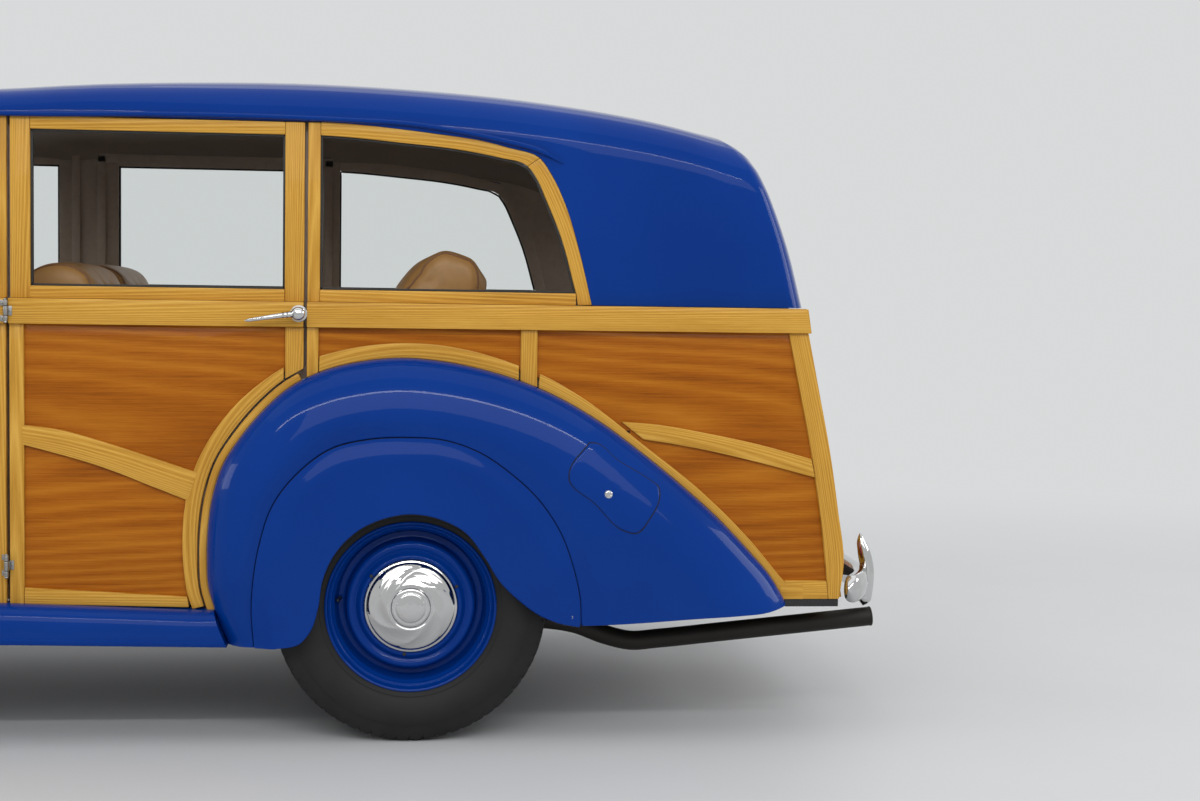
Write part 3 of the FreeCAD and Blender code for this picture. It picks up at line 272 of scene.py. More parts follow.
def rubberFinish():
    # grey bloom in patches over the rubber, which is lighter and rougher where the bloom lies thicker
    f = Finish("rubber", specularIorLevel=0.22)
    bloom = f.noise(f.position(), 14.0, 4.0)
    grit = f.noise(f.position(), 900.0, 2.0)
    f.set(baseColor=f.mix(bloom, (0.008, 0.008, 0.0085), (0.022, 0.0215, 0.0215)), roughness=0.46 + bloom * 0.28)
    f.bump(grit, 0.12, 0.0004)
    return f.material


def glassFinish():
    # lets lamps through, so that the cabin is lit
    f = Finish("windowGlass")
    clear = f.node("BsdfTransparent", None, {0: (0.985, 0.996, 0.992)})
    gloss = f.node("BsdfPrincipled", None, {"Base Color": (0.02, 0.025, 0.025), "Roughness": 0.02, "Metallic": 0.0})
    edge = f.node("LayerWeight", None, {0: 0.5}, 1)
    mixed = f.node("MixShader", None, {0: edge ** 4.0 * 0.7 + 0.025, 1: clear, 2: gloss})
    output = next(n for n in f.tree.nodes if n.type == "OUTPUT_MATERIAL")
    f.tree.nodes.remove(f.shader)
    f.tree.links.new(mixed.socket, output.inputs[0])
    return f.material


def makeFinishes():
    finishes["paint"] = paintFinish()
    # the wheels get the body's blue darkened to 0.95, as painted shade
    finishes["shadedWheelPaint"] = paintFinish("shadedWheelPaint", 0.95)
    for name in woods:
        finishes[name] = woodFinish(name)
    finishes["leather"] = leatherFinish("tanLeather", (0.4, 0.19, 0.052), (0.49, 0.25, 0.08))
    finishes["trim"] = leatherFinish("brownTrim", (0.43, 0.335, 0.265), (0.49, 0.395, 0.32))
    finishes["welt"] = leatherFinish("weltLeather", (0.2, 0.08, 0.026), (0.26, 0.11, 0.04))
    finishes["chrome"] = chromeFinish()
    finishes["steel"] = plainFinish("dullSteel", (0.36, 0.355, 0.34), 0.3, 0.3, 60.0, 0.2, 0.0004, metallic=1.0)
    finishes["rubber"] = rubberFinish()
    finishes["glass"] = glassFinish()
    finishes["gasket"] = plainFinish("gasketRubber", (0.014, 0.014, 0.014), 0.4, 0.6)
    finishes["lining"] = plainFinish("roofLining", (0.3, 0.25, 0.2), 0.2, 0.9, 60.0, 0.3)
    finishes["carpet"] = plainFinish("carpet", (0.055, 0.04, 0.032), 0.5, 0.95, 90.0, 0.9, 0.003, sheenWeight=0.4)
    finishes["chassis"] = plainFinish("chassisPaint", (0.022, 0.022, 0.023), 0.5, 0.5, 30.0)
    finishes["iron"] = plainFinish("castIron", (0.075, 0.078, 0.08), 0.4, 0.62, 50.0, 0.5, 0.001, metallic=0.6)
    finishes["pipe"] = plainFinish("sootyPipe", (0.028, 0.024, 0.02), 0.6, 0.55, 35.0, 0.35, 0.001, metallic=0.5)
    finishes["black"] = plainFinish("blackEnamel", (0.012, 0.012, 0.013), 0.3, 0.28, 30.0, 0.05)
    finishes["gap"] = plainFinish("shadowGap", (0.004, 0.004, 0.006), 0.2, 0.9)
    finishes["lamp"] = plainFinish("lampGlass", (0.75, 0.77, 0.76), 0.05, 0.08, 90.0, 0.3, 0.002, coatWeight=1.0)
    finishes["amber"] = plainFinish("amberLens", (0.62, 0.16, 0.012), 0.1, 0.12, 90.0, 0.3, 0.001, coatWeight=1.0)
    finishes["red"] = plainFinish("redLens", (0.42, 0.008, 0.006), 0.1, 0.12, 90.0, 0.3, 0.001, coatWeight=1.0)


makeFinishes()
print("materials ready:", len(finishes))


def smoothed(points, count):
    # a smooth curve through the points, at even distances
    p = np.array(points, float)
    gaps = np.linalg.norm(np.diff(p, axis=0), axis=1)
    t = np.concatenate([[0], np.cumsum(gaps)])
    slope = np.gradient(p, t, axis=0)
    at = np.linspace(0, t[-1], count)
    i = np.clip(np.searchsorted(t, at, side="right") - 1, 0, len(p) - 2)
    s, h = ((at - t[i]) / gaps[i])[:, None], gaps[i][:, None]
    ends = (1 + 2 * s) * (1 - s) ** 2 * p[i] + s * s * (3 - 2 * s) * p[i + 1]
    return ends + h * (s * (1 - s) ** 2 * slope[i] + s * s * (s - 1) * slope[i + 1])


def straight(points, count):
    p = np.array(points, float)
    t = np.concatenate([[0], np.cumsum(np.linalg.norm(np.diff(p, axis=0), axis=1))])
    at = np.linspace(0, t[-1], count)
    return np.stack([np.interp(at, t, p[:, k]) for k in range(p.shape[1])], axis=1)


def beside(points, distance):
    # the curve moved to its left by distance
    p = np.array(points, float)
    run = np.gradient(p, axis=0)
    run /= np.linalg.norm(run, axis=1)[:, None]
    return p + distance * np.stack([-run[:, 1], run[:, 0]], axis=1)


def away(points, curve):
    # each point's distance from a curve
    p, c = np.array(points, float), np.array(curve, float)
    a, d = c[:-1], np.diff(c, axis=0)
    best = np.full(len(p), 9.0)
    for start, run in zip(a, d):
        t = np.clip(((p - start) @ run) / max(run @ run, 1e-12), 0, 1)
        best = np.minimum(best, np.linalg.norm(p - start - t[:, None] * run, axis=1))
    return best


def turns(count):
    # angles once round
    return np.linspace(0, 2 * math.pi, count, endpoint=False)


def eased(x):
    x = np.clip(x, 0, 1)
    return x * x * (3 - 2 * x)


def powered(x, power):
    # a power that keeps the sign, for squarish rings
    return math.copysign(abs(x) ** power, x)


class Shape:
    # gathers closed boards, skins and turned forms that make one piece
    def __init__(self):
        self.points, self.faces, self.grain = [], [], []
        self.boards = 0

    def add(self, points, faces, grain=None):
        start = len(self.points)
        self.points += [tuple(float(v) for v in p) for p in points]
        self.faces += [tuple(start + i for i in f) for f in faces]
        self.grain += [tuple(g) for g in grain] if grain is not None else [(p[0], p[2]) for p in points]
        return self

    def grid(self, rows, wrapAcross=False, wrapAlong=False, grain=None):
        rows = np.array(rows, float)
        n, m = rows.shape[:2]
        faces = []
        for i in range(n if wrapAlong else n - 1):
            for j in range(m if wrapAcross else m - 1):
                a, b = i, (i + 1) % n
                c, d = j, (j + 1) % m
                faces.append((a * m + c, a * m + d, b * m + d, b * m + c))
        return self.add(rows.reshape(-1, 3), faces, grain)

    def tube(self, rows, grain=None):
        # a grid that closes across, with flat ends
        start, m = len(self.points), len(rows[0])
        last = start + (len(rows) - 1) * m
        self.grid(rows, wrapAcross=True, grain=grain)
        self.faces += [tuple(range(start, start + m)), tuple(reversed(range(last, last + m)))]
        return self

    def block(self, lows, highs):
        # a closed form between two flat rings
        n = len(lows)
        walls = [(k, (k + 1) % n, n + (k + 1) % n, n + k) for k in range(n)]
        return self.add([*lows, *highs], [tuple(range(n)), tuple(range(n, 2 * n)), *walls])

    def board(self, first, second, spot, outside, inside):
        # a board between two edges in a side plane; its grain runs along them
        first, second = np.array(first, float), np.array(second, float)
        run = np.concatenate([[0], np.cumsum(np.linalg.norm(np.diff((first + second) / 2, axis=0), axis=1))])
        width = np.linalg.norm(first - second, axis=1)
        self.boards += 1
        shift = math.sin(self.boards * 12.9898 + len(self.points) * 0.37) * 43758.5453
        shift -= math.floor(shift)
        base, off = 7.3 * shift, (shift * 7.9 % 1 - 0.5) * 0.1
        n = len(first)
        points, grain = [], []
        for out in (outside, inside):
            for edge, sign in ((first, 0.5), (second, -0.5)):
                for k in range(n):
                    points.append(spot(edge[k][0], edge[k][1], out))
                    grain.append((run[k] + base, width[k] * sign + off))
        faces = []
        for k in range(n - 1):
            corner = [q * n + k for q in (0, 1, 3, 2)]
            for q in range(4):
                a, b = corner[q], corner[(q + 1) % 4]
                faces.append((a, a + 1, b + 1, b))
        faces.append((0, n, 3 * n, 2 * n))
        faces.append((n - 1, 2 * n - 1, 4 * n - 1, 3 * n - 1))
        return self.add(points, faces, grain)

    def turned(self, profile, centre, axis, steps=96):
        # profile is (radius, height) pairs along the axis; a radius of nothing closes it
        centre, axis = Vector(centre), Vector(axis).normalized()
        one = axis.orthogonal().normalized()
        two = axis.cross(one)
        spokes = [one * math.cos(a) + two * math.sin(a) for a in turns(steps)]
        rows = [
            [centre + axis * height + spoke * max(radius, 1e-5) for spoke in spokes] for radius, height in profile
        ]
        return self.grid(rows, wrapAcross=True)

    def sweep(self, path, section, up=(0, 0, 1), capped=True, wrap=False, scales=None):
        # carries a flat section along a path; section is (across, up) pairs
        path = np.array(path, float)
        run = np.gradient(path, axis=0)
        if wrap:
            run = np.roll(path, -1, axis=0) - np.roll(path, 1, axis=0)
        run /= np.linalg.norm(run, axis=1)[:, None]
        rows = []
        for k, (point, forward) in enumerate(zip(path, run)):
            across = np.cross(forward, up)
            across /= np.linalg.norm(across)
            rise = np.cross(across, forward)
            grow = 1 if scales is None else scales[k]
            rows.append([point + (across * a + rise * b) * grow for a, b in section])
        if capped and not wrap:
            return self.tube(rows)
        return self.grid(rows, wrapAcross=True, wrapAlong=wrap)

    def piece(self, name, finish, body, slot, bevel=0.0, segments=2, sharp=38, replaces=(), solid=0.0, weld=0.0):
        mesh = bpy.data.meshes.new(name)
        mesh.from_pydata(self.points, [], self.faces)
        if finish == "mahogany":  # sheets of veneer, laid with the grain level
            self.grain = [(p[0] + p[1] + 7.0, p[2] - 0.83) for p in self.points]
        layer = mesh.uv_layers.new(name="grain")
        index = np.zeros(len(mesh.loops), np.int32)
        mesh.loops.foreach_get("vertex_index", index)
        layer.data.foreach_set("uv", np.array(self.grain, np.float32)[index].ravel())
        form = bmesh.new()
        form.from_mesh(mesh)
        if weld:
            bmesh.ops.remove_doubles(form, verts=form.verts, dist=weld)
        bmesh.ops.recalc_face_normals(form, faces=form.faces)
        if bevel:
            edges = [e for e in form.edges if len(e.link_faces) == 2 and e.calc_face_angle(0) > math.radians(28)]
            bmesh.ops.bevel(
                form, geom=edges, offset=bevel, segments=segments, profile=0.6, affect="EDGES", clamp_overlap=True
            )
        form.to_mesh(mesh)
        form.free()
        piece = linked(name, mesh)
        if solid:
            thicken = piece.modifiers.new("thicken", "SOLIDIFY")
            thicken.thickness, thicken.offset, thicken.use_even_offset = solid, -1, False
            applyModifiers(piece)
        piece.data.shade_smooth()
        piece.data.set_sharp_from_angle(angle=math.radians(sharp))
        piece.data.materials.append(finishes[finish])
        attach(piece, body)
        if replaces:
            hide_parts(*replaces)
        return piece


def linked(name, data):
    piece = bpy.data.objects.new(name, data)
    bpy.context.scene.collection.objects.link(piece)
    return piece


def applyModifiers(piece):
    graph = bpy.context.evaluated_depsgraph_get()
    mesh = bpy.data.meshes.new_from_object(piece.evaluated_get(graph))
    piece.modifiers.clear()
    piece.data = mesh


def roundSection(radius, count=16, flat=1.0):
    return [(radius * math.cos(a), radius * flat * math.sin(a)) for a in turns(count)]


def rounded(width, height, radius, count=5):
    # a rectangle with round corners, as a section
    points = []
    for turn, (x, y) in enumerate(((1, 1), (-1, 1), (-1, -1), (1, -1))):
        for k in range(count):
            a = math.pi / 2 * (turn + k / (count - 1))
            points.append(
                (x * (width / 2 - radius) + radius * math.cos(a), y * (height / 2 - radius) + radius * math.sin(a))
            )
    return points


def onSide(sign):
    # a spot on the flat side of the body: x from the rear axle, height, distance out
    return lambda x, z, out: (axleX + x, sign * out, z)


# rear doors; x runs back from the rear axle, and curves are (x, height) pairs
rearDoor = {
    "front": -1.017,
    "back": -0.28,
    "foot": ((-1.017, 0.36), (-0.28, 0.343)),
    "stile": 0.036,
    "lockStile": 0.047,
    "windowStile": 0.05,
    "midRail": (
        ((-0.986, 0.8185), (-0.892, 0.806), (-0.792, 0.778), (-0.667, 0.738), (-0.548, 0.698)),
        ((-0.986, 0.768), (-0.892, 0.743), (-0.767, 0.704), (-0.667, 0.664), (-0.572, 0.626)),
    ),
}
# where the rear wing meets the wood, and the upper edge of the ash arch along it
wingJoint = (
    (-0.503, 0.343), (-0.519, 0.397), (-0.524, 0.475), (-0.522, 0.552), (-0.509, 0.643), (-0.484, 0.72),
    (-0.439, 0.792), (-0.384, 0.859), (-0.313, 0.922), (-0.237, 0.961), (-0.136, 0.988), (-0.033, 0.999),
    (0.069, 0.992), (0.173, 0.973), (0.277, 0.943), (0.382, 0.899), (0.488, 0.838), (0.594, 0.762),
    (0.702, 0.676), (0.81, 0.581), (0.892, 0.496), (0.947, 0.434), (0.986, 0.373),
)
archTop = (
    (-0.56, 0.345), (-0.572, 0.38), (-0.581, 0.434), (-0.586, 0.511), (-0.581, 0.602), (-0.566, 0.679),
    (-0.541, 0.744), (-0.504, 0.808), (-0.453, 0.873), (-0.39, 0.93), (-0.327, 0.973), (-0.241, 1.001),
    (-0.162, 1.022), (-0.034, 1.037), (0.069, 1.033), (0.173, 1.014), (0.277, 0.981), (0.33, 0.961),
    (0.489, 0.868), (0.582, 0.795), (0.758, 0.658), (0.894, 0.526), (0.986, 0.418), (1.033, 0.367),
)
jointLine = smoothed(wingJoint, 320)
archLine = smoothed(archTop, 320)


def between(line, start, end, count):
    # the stretch of a curve from one x to another, on its upper run
    top = line[:, 1] > 0.55
    part = line[(line[:, 0] > start) & (line[:, 0] < end) & top]
    return straight(part, count)


def heightOf(line, x):
    # the curve's height over x, on its upper run
    part = line[line[:, 1] > 0.36]
    order = np.argsort(part[:, 0])
    return float(np.interp(x, part[order, 0], part[order, 1]))


def below(points, x):
    p = np.array(points)
    return float(np.interp(x, p[:, 0], p[:, 1]))


def midway(pair, x):
    # the height halfway between two curves
    return 0.5 * (below(pair[0], x) + below(pair[1], x))


def over(xs, height):
    # points over the x values; height is a number, a list or a rule
    if callable(height):
        height = [height(x) for x in xs]
    return list(zip(xs, np.broadcast_to(height, len(xs))))


def upright(shape, spot, x0, x1, low, high, outside, inside):
    # a post between two x values; low and high give its ends at each side
    lows, highs = (low, low) if np.isscalar(low) else low, (high, high) if np.isscalar(high) else high
    shape.board([(x0, lows[0]), (x0, highs[0])], [(x1, lows[1]), (x1, highs[1])], spot, outside, inside)


def level(shape, spot, x0, x1, z0, z1, outside, inside):
    shape.board([(x0, z0), (x1, z0)], [(x0, z1), (x1, z1)], spot, outside, inside)


def strapHinge(name, body, at, axis, along, out, depth, leaf=0.015):
    # knuckles on a pin; along points to the moving part, and depth says how far in the faces lie
    at, axis, along, out = (Vector(v) for v in (at, axis, along, out))
    for label, rider, spans, way in (
        ("Moving", body, ((-0.0118, 0.0118),), 1),
        ("Fixed", "body", ((0.0124, 0.027), (-0.027, -0.0124)), -1),
    ):
        shape = Shape()
        for low, high in spans:
            r, e = 0.006, 0.0012
            ring = [(0, low), (r - e, low), (r, low + e), (r, high - e), (r - e, high), (0, high)]
            shape.turned(ring, at, axis, 28)
            if label == "Fixed":
                tip = high if high > 0 else low
                end = math.copysign(1, tip)
                crown = [
                    (0.0045, tip), (0.0052, tip + end * 0.002), (0.003, tip + end * 0.0045), (0, tip + end * 0.005)
                ]
                shape.turned(crown, at, axis, 24)
            a, b = at - out * (depth - 0.0022), at - out * (depth + 0.0006)
            leafEnd, armEnd = along * way * leaf, along * way * 0.006
            for ring in ([a, a + leafEnd, b + leafEnd, b], [at, at + armEnd, a + armEnd, a]):
                shape.block([p + axis * low for p in ring], [p + axis * high for p in ring])
            head = a + along * way * leaf * 0.66 + axis * ((low + high) / 2)
            shape.turned([(0, -0.001), (0.003, 0.0), (0.0024, 0.001), (0, 0.0014)], head, out, 16)
        shape.piece(name + label, "steel", rider, "chrome", bevel=0.0005)


def doorHinges(name, label, spot, front, along, out, body):
    # the upper hinge lies on the belt rail and the lower one on the frame
    for number, (z, depth) in enumerate(((1.1075, 0.008), (0.46, 0.023))):
        at = spot(front - 0.004, z, side["belt"] + 0.008)
        strapHinge(f"{name}{number}_{label}", body, at, (0, 0, 1), along, out, depth)


def joinery(name, label, body, parts, replaces):
    # the ash, panels, lining and gasket of one part of the side
    kinds = (
        ("Ash", "ash", "wood", 0.0032, (replaces,)), ("Panels", "mahogany", "wood", 0.001, ()),
        ("Lining", "trim", "leather", 0.0015, ()), ("Gasket", "gasket", "black_plastic", 0.001, ()),
    )
    for shape, (kind, finish, slot, bevel, old) in zip(parts, kinds):
        shape.piece(f"{name}{kind}_{label}", finish, body, slot, bevel, replaces=old)


handle = {"reach": 0.034, "length": 0.135, "drop": 0.02}


def doorHandle(name, spot, body, x):
    # a tapered lever on a domed boss and a backing plate, in the middle of the belt rail
    h, z, face = handle, 1.11, side["belt"]
    shape = Shape()
    origin, outer = Vector(spot(x, z, face)), Vector(spot(x, z, face + 0.1))
    out = (outer - origin).normalized()
    along = (origin - Vector(spot(x + 0.1, z, face))).normalized()
    plate = [(0, -0.001), (0.021, -0.001), (0.0215, 0.001), (0.0175, 0.0042), (0.015, 0.005), (0.014, 0.012)]
    neck = [(0.0105, 0.016), (0.01, 0.022), (0.0125, 0.026), (0.0165, 0.029), (0.0175, 0.034), (0.0155, 0.0395)]
    shape.turned(plate + neck + [(0.009, 0.043), (0.004, 0.0442), (0, 0.0445)], origin, out, 48)
    sink = lambda t: origin + along * h["length"] * t + Vector((0, 0, -h["drop"] * t ** 1.2))
    path, sizes = [], []
    for t in np.linspace(0, 1, 25):
        path.append(sink(t) + out * (h["reach"] + 0.006 * math.sin(math.pi * t) - 0.01 * t))
        sizes.append(max(0.0004, (0.0085 - 0.0042 * t ** 0.8) * min(1, ((1 - t) * 14 + 0.01)) ** 0.5))
    shape.sweep(path, roundSection(1.0, 20, 0.72), up=out, scales=sizes)
    for t, grow in ((0.12, 1.12), (0.2, 1.02), (0.28, 0.94)):
        ring = [(0.0078 * grow, -0.0022), (0.0092 * grow, 0), (0.0078 * grow, 0.0022)]
        shape.turned(ring, sink(t) + out * (h["reach"] + 0.003), along, 28)
    shape.piece(name, "chrome", body, "chrome", sharp=50)


def doorUpper(ash, trim, seal, spot, front, back, lean=None):
    # the frame round a door's window; lean gives the front edge's x at a height
    s = side
    edge = lean or (lambda z: front)
    w = rearDoor["windowStile"]
    inset = w / math.cos(math.radians(screenRake)) if lean else w
    inner = lambda z: (edge(z) + inset, z)
    low, ledge, head, end = levels["beltTop"], levels["ledge"], levels["head"], back - w
    for shape, outside, inside in ((ash, s["upper"], s["lining"] - 0.001), (trim, s["lining"] - 0.001, s["inner"])):
        high = levels["cant"] - (0.0005 if shape is ash else 0.006)  # the trim passes under the drip rail
        shape.board([(edge(low), low), (edge(high), high)], [inner(low), inner(high)], spot, outside, inside)
        upright(shape, spot, end, back, low, high, outside, inside)
        shape.board([inner(head), (end, head)], [inner(high), (end, high)], spot, outside, inside)
    for shape, outside, inside in ((ash, s["upper"] + sillProud, s["lining"]), (trim, s["lining"], s["inner"])):
        shape.board([inner(low), (end, low)], [inner(ledge), (end, ledge)], spot, outside, inside)
    gasket(seal, spot, [inner(ledge), (end, ledge), (end, head), inner(head)])


def gasket(shape, spot, outline, width=0.0055):
    # a black channel round a pane, just inside the opening
    o = np.array(outline, float)
    centre = o.mean(axis=0)
    for a, b in zip(o, np.roll(o, -1, axis=0)):
        run = (b - a) / np.linalg.norm(b - a)
        inward = np.array([-run[1], run[0]])
        inward *= math.copysign(1, inward @ (centre - (a + b) / 2))
        outer = [a - inward * 0.002, b - inward * 0.002]
        shape.board(outer, [a + inward * width, b + inward * width], spot, *channel)


def rearDoors():
    d, s = rearDoor, side
    front, back, low, high = d["front"], d["back"], levels["beltLow"], levels["beltTop"]
    foot = lambda x: below(d["foot"], x)
    rail = lambda x: midway(d["midRail"], x)
    arch = lambda x: heightOf(archLine, x) - tuck if x > -0.56 else 0.3
    inner, lock = front + d["stile"], back - d["lockStile"]
    edge = straight(beside(jointLine, 0.024), 400)  # the door's rear edge, round the strip on the wing
    face, rear = s["frame"], s["lining"]
    for label, sign in sides:
        spot, body = onSide(sign), "rear_door_" + label
        ash, panels, trim, seal = (Shape() for _ in range(4))
        upright(ash, spot, front, inner, (foot(front), foot(inner)), low, face, rear)
        upright(ash, spot, lock, back, (heightOf(edge, lock), heightOf(edge, back)), low, face, rear)
        # the arch, from the door's foot up to the lock stile
        outerArch = archLine[archLine[:, 0] < lock]
        innerArch = edge[(edge[:, 0] < lock) & (edge[:, 1] > foot(-0.53))]
        ash.board(straight(innerArch, 60), straight(outerArch, 60), spot, face, rear)
        ash.board(
            [(inner, foot(inner)), (-0.5685, foot(-0.5685))], ((inner, 0.4015), (-0.573, 0.3765)), spot, face, rear
        )
        upper, lower = (smoothed(line, 24) for line in d["midRail"])
        ash.board(lower, upper, spot, face + 0.0008, rear)
        level(ash, spot, front, back, low, high, s["belt"], rear)
        # mahogany behind the frame, above and below the curved rail
        xs = np.linspace(inner - lap, lock + lap, 30)
        panels.board(over(xs, lambda x: max(rail(x), arch(x))), over(xs, low + lap), spot, s["panel"], rear)
        xs = np.linspace(inner - lap, -0.562, 20)
        panels.board(over(xs, lambda x: foot(x) + tuck), over(xs, rail), spot, s["panel"], rear)
        doorUpper(ash, trim, seal, spot, front, back)
        xs = np.linspace(front, back, 40)
        lows = over(xs, lambda x: max(foot(x), heightOf(edge, x) + 0.001 if x > -0.53 else 0))
        trim.board(lows, over(xs, high), spot, rear, s["inner"])
        joinery("rearDoor", label, body, (ash, panels, trim, seal), body)
        doorHandle(f"rearDoorHandle_{label}", spot, body, -0.292)
        doorHinges("rearHinge", label, spot, front, (1, 0, 0), (0, sign, 0), body)


rearDoors()
print("rear doors built")


# the fixed quarter behind the rear doors, and the centre posts
quarter = {
    "front": -0.272,
    "frontStile": 0.03,
    "midStile": (0.279, 0.323),
    "midRail": (
        ((0.545, 0.838), (0.648, 0.83), (0.755, 0.812), (0.916, 0.779), (1.056, 0.742)),
        ((0.605, 0.791), (0.68, 0.78), (0.755, 0.767), (0.917, 0.731), (1.067, 0.692)),
    ),
    "rearStile": (
        ((0.988, 1.075), (1.02, 0.925), (1.057, 0.75), (1.081, 0.606), (1.101, 0.45), (1.109, 0.367)),
        ((1.041, 1.075), (1.072, 0.926), (1.105, 0.766), (1.131, 0.606), (1.15, 0.46), (1.139, 0.367)),
    ),
    "foot": (0.367, 0.416),
    "windowStile": 0.032,
    "windowTop": (
        (-0.24, 1.567), (-0.192, 1.565), (-0.038, 1.553), (0.116, 1.538), (0.22, 1.52), (0.291, 1.501),
        (0.318, 1.465), (0.339, 1.419), (0.379, 1.324), (0.423, 1.172),
    ),
    "frameTop": (
        (-0.24, 1.601), (-0.18, 1.599), (-0.038, 1.588), (0.064, 1.577), (0.168, 1.564), (0.245, 1.546),
        (0.324, 1.522), (0.356, 1.478), (0.393, 1.401), (0.426, 1.298), (0.465, 1.142),
    ),
    "frameCorner": 0.304,
}


def quarters():
    q, s = quarter, side
    face, rear, low, high, ledge = s["frame"], s["lining"], levels["beltLow"], levels["beltTop"], levels["ledge"]
    front, inner, w = q["front"], q["front"] + q["frontStile"], q["windowStile"]
    (m0, m1), (foot, footTop) = q["midStile"], q["foot"]
    joint, arch = lambda x: heightOf(jointLine, x), lambda x: heightOf(archLine, x) - tuck
    rail = lambda x: midway(q["midRail"], x)
    tailJoint, tailArch = (line[line[:, 0] > m1] for line in (jointLine, archLine))
    headIn, headOut = smoothed(q["windowTop"], 90), smoothed(q["frameTop"], 90)
    for label, sign in sides:
        spot = onSide(sign)
        ash, panels, trim, seal = (Shape() for _ in range(4))
        upright(ash, spot, front, inner, (joint(front), joint(inner)), low, face, rear)
        upright(ash, spot, m0, m1, (joint(m0), joint(m1)), low, face + 0.0006, rear)
        ash.board(between(jointLine, inner, m0, 30), between(archLine, inner, m0, 30), spot, face, rear)
        ash.board(straight(tailJoint, 50), straight(tailArch, 50), spot, face, rear)
        ash.board(smoothed(q["midRail"][1], 20), smoothed(q["midRail"][0], 20), spot, face + 0.0004, rear)
        ash.board(smoothed(q["rearStile"][0], 24), smoothed(q["rearStile"][1], 24), spot, face + 0.001, rear)
        ash.board([(1.0, foot), (1.109, foot)], [(0.99, footTop), (1.104, footTop)], spot, face, rear)
        ash.board([(front, low), (1.0465, low)], [(front, high), (1.0325, high)], spot, s["belt"], rear)
        # the strip that stays with the body round the front of the wing
        strip = straight(jointLine[jointLine[:, 0] < -0.284], 70)
        ash.board(strip, beside(strip, 0.019), spot, face - 0.001, s["inner"] + 0.002)
        # inset panels: ahead of the middle stile, above the curved rail and below it
        xs = np.linspace(inner - 0.006, m0 + 0.006, 24)
        panels.board(over(xs, arch), over(xs, low + lap), spot, s["panel"], rear)
        xs = np.linspace(m1 - 0.006, 1.075, 40)
        lows = over(xs, lambda x: max(rail(x), arch(x) if x < 0.62 else 0))
        end = lambda x: min(low + lap, float(np.interp(x, (1.015, 1.075), (1.083, 0.78))))
        panels.board(lows, over(xs, end), spot, s["panel"], rear)
        xs = np.linspace(0.57, 1.115, 40)
        lows = [arch(x) if x < 0.985 else 0.39 for x in xs]
        top = [max(a + 0.001, rail(x) - max(0, x - 1.075) * 6.5) for x, a in zip(xs, lows)]
        panels.board(over(xs, lows), over(xs, top), spot, s["panel"] - 0.0005, rear)
        # window frame: a stile, a sill strip, and a bent head in two lengths that meet on a mitre
        ax, bx = q["frameCorner"] - 0.012, q["frameCorner"] + 0.02
        a, b = (ax, below(headIn, ax)), (bx, below(headOut, bx))
        innerTop = np.vstack([headIn[headIn[:, 0] < ax - 0.001], [a]])
        outerTop = np.vstack([headOut[headOut[:, 0] < bx - 0.001], [b]])
        innerEnd = np.vstack([[a], headIn[headIn[:, 0] > ax + 0.001], [(0.4275, high + 0.001)]])
        outerEnd = np.vstack([[b], headOut[headOut[:, 0] > bx + 0.001]])
        for shape, outside, inside in ((ash, s["upper"], rear - 0.001), (trim, rear - 0.001, s["inner"])):
            upright(shape, spot, front, front + w, high, levels["cant"], outside, inside)
            level(shape, spot, front + w, 0.4225, high, ledge, outside + (sillProud if shape is ash else 0), inside)
            shape.board(straight(innerTop, 34), straight(outerTop, 34), spot, outside, inside)
            shape.board(straight(innerEnd, 26), straight(outerEnd, 26), spot, outside, inside)
        gasketRun(seal, spot, [(front + w, ledge), (0.423, ledge), *straight(headIn, 24)[::-1]])
        # lining below the window, down to the wheel housing
        xs = np.linspace(front, 1.03, 60)
        lows = over(xs, lambda x: joint(x) + 0.001 if x < 0.98 else 0.38)
        trim.board(lows, over(xs, high), spot, rear - 0.001, s["inner"])
        joinery("quarter", label, "body", (ash, panels, trim, seal), "quarter_panels")
        block, valance = Shape(), Shape()
        level(block, spot, 0.978, 1.04, 0.3672, 0.4035, face + 0.0012, face - 0.012)
        block.piece(f"quarterFoot_{label}", "ash", "body", "wood", 0.0018)
        level(valance, spot, 0.992, 1.138, 0.346, 0.3668, face - 0.006, s["inner"])
        valance.piece(f"valance_{label}", "black", "body", "chassis_steel", 0.002)


def gasketRun(shape, spot, outline, width=0.0055):
    # the same black channel round a curved opening
    closed = np.vstack([outline, outline[:1]])
    edge = straight(closed, 140)
    area = sum(a[0] * b[1] - b[0] * a[1] for a, b in zip(closed, closed[1:]))
    shape.board(edge, beside(edge, math.copysign(width, area)), spot, *channel)


post = {"front": -1.1, "back": -1.025, "foot": 0.352, "top": 1.607}


def centrePosts():
    s, front, back = side, post["front"], post["back"]
    x = (front + back) / 2
    for label, sign in sides:
        spot = onSide(sign)
        ash, trim, arm, case = (Shape() for _ in range(4))
        upright(ash, spot, front, back, post["foot"], levels["beltLow"], s["frame"], s["lining"])
        level(ash, spot, front, back, levels["beltLow"], levels["beltTop"], s["belt"], s["lining"])
        upright(ash, spot, front, back, levels["beltTop"], post["top"], s["upper"], s["lining"])
        upright(trim, spot, front, back, post["foot"], post["top"], s["lining"], s["inner"])
        ash.piece(f"centrePostAsh_{label}", "ash", "body", "wood", 0.0032, replaces=("door_posts",))
        trim.piece(f"centrePostTrim_{label}", "trim", "body", "leather", 0.0015)
        # the signal arm lies folded in a slim chrome case
        level(case, spot, x - 0.015, x + 0.015, 1.23, 1.435, s["upper"] + 0.004, s["upper"] - 0.004)
        level(arm, spot, x - 0.009, x + 0.009, 1.24, 1.425, s["upper"] + 0.008, s["upper"] + 0.002)
        case.piece(f"signalCase_{label}", "chrome", "body", "chrome", 0.003)
        arm.piece(f"signalArm_{label}", "amber", "body", "black_plastic", 0.003)


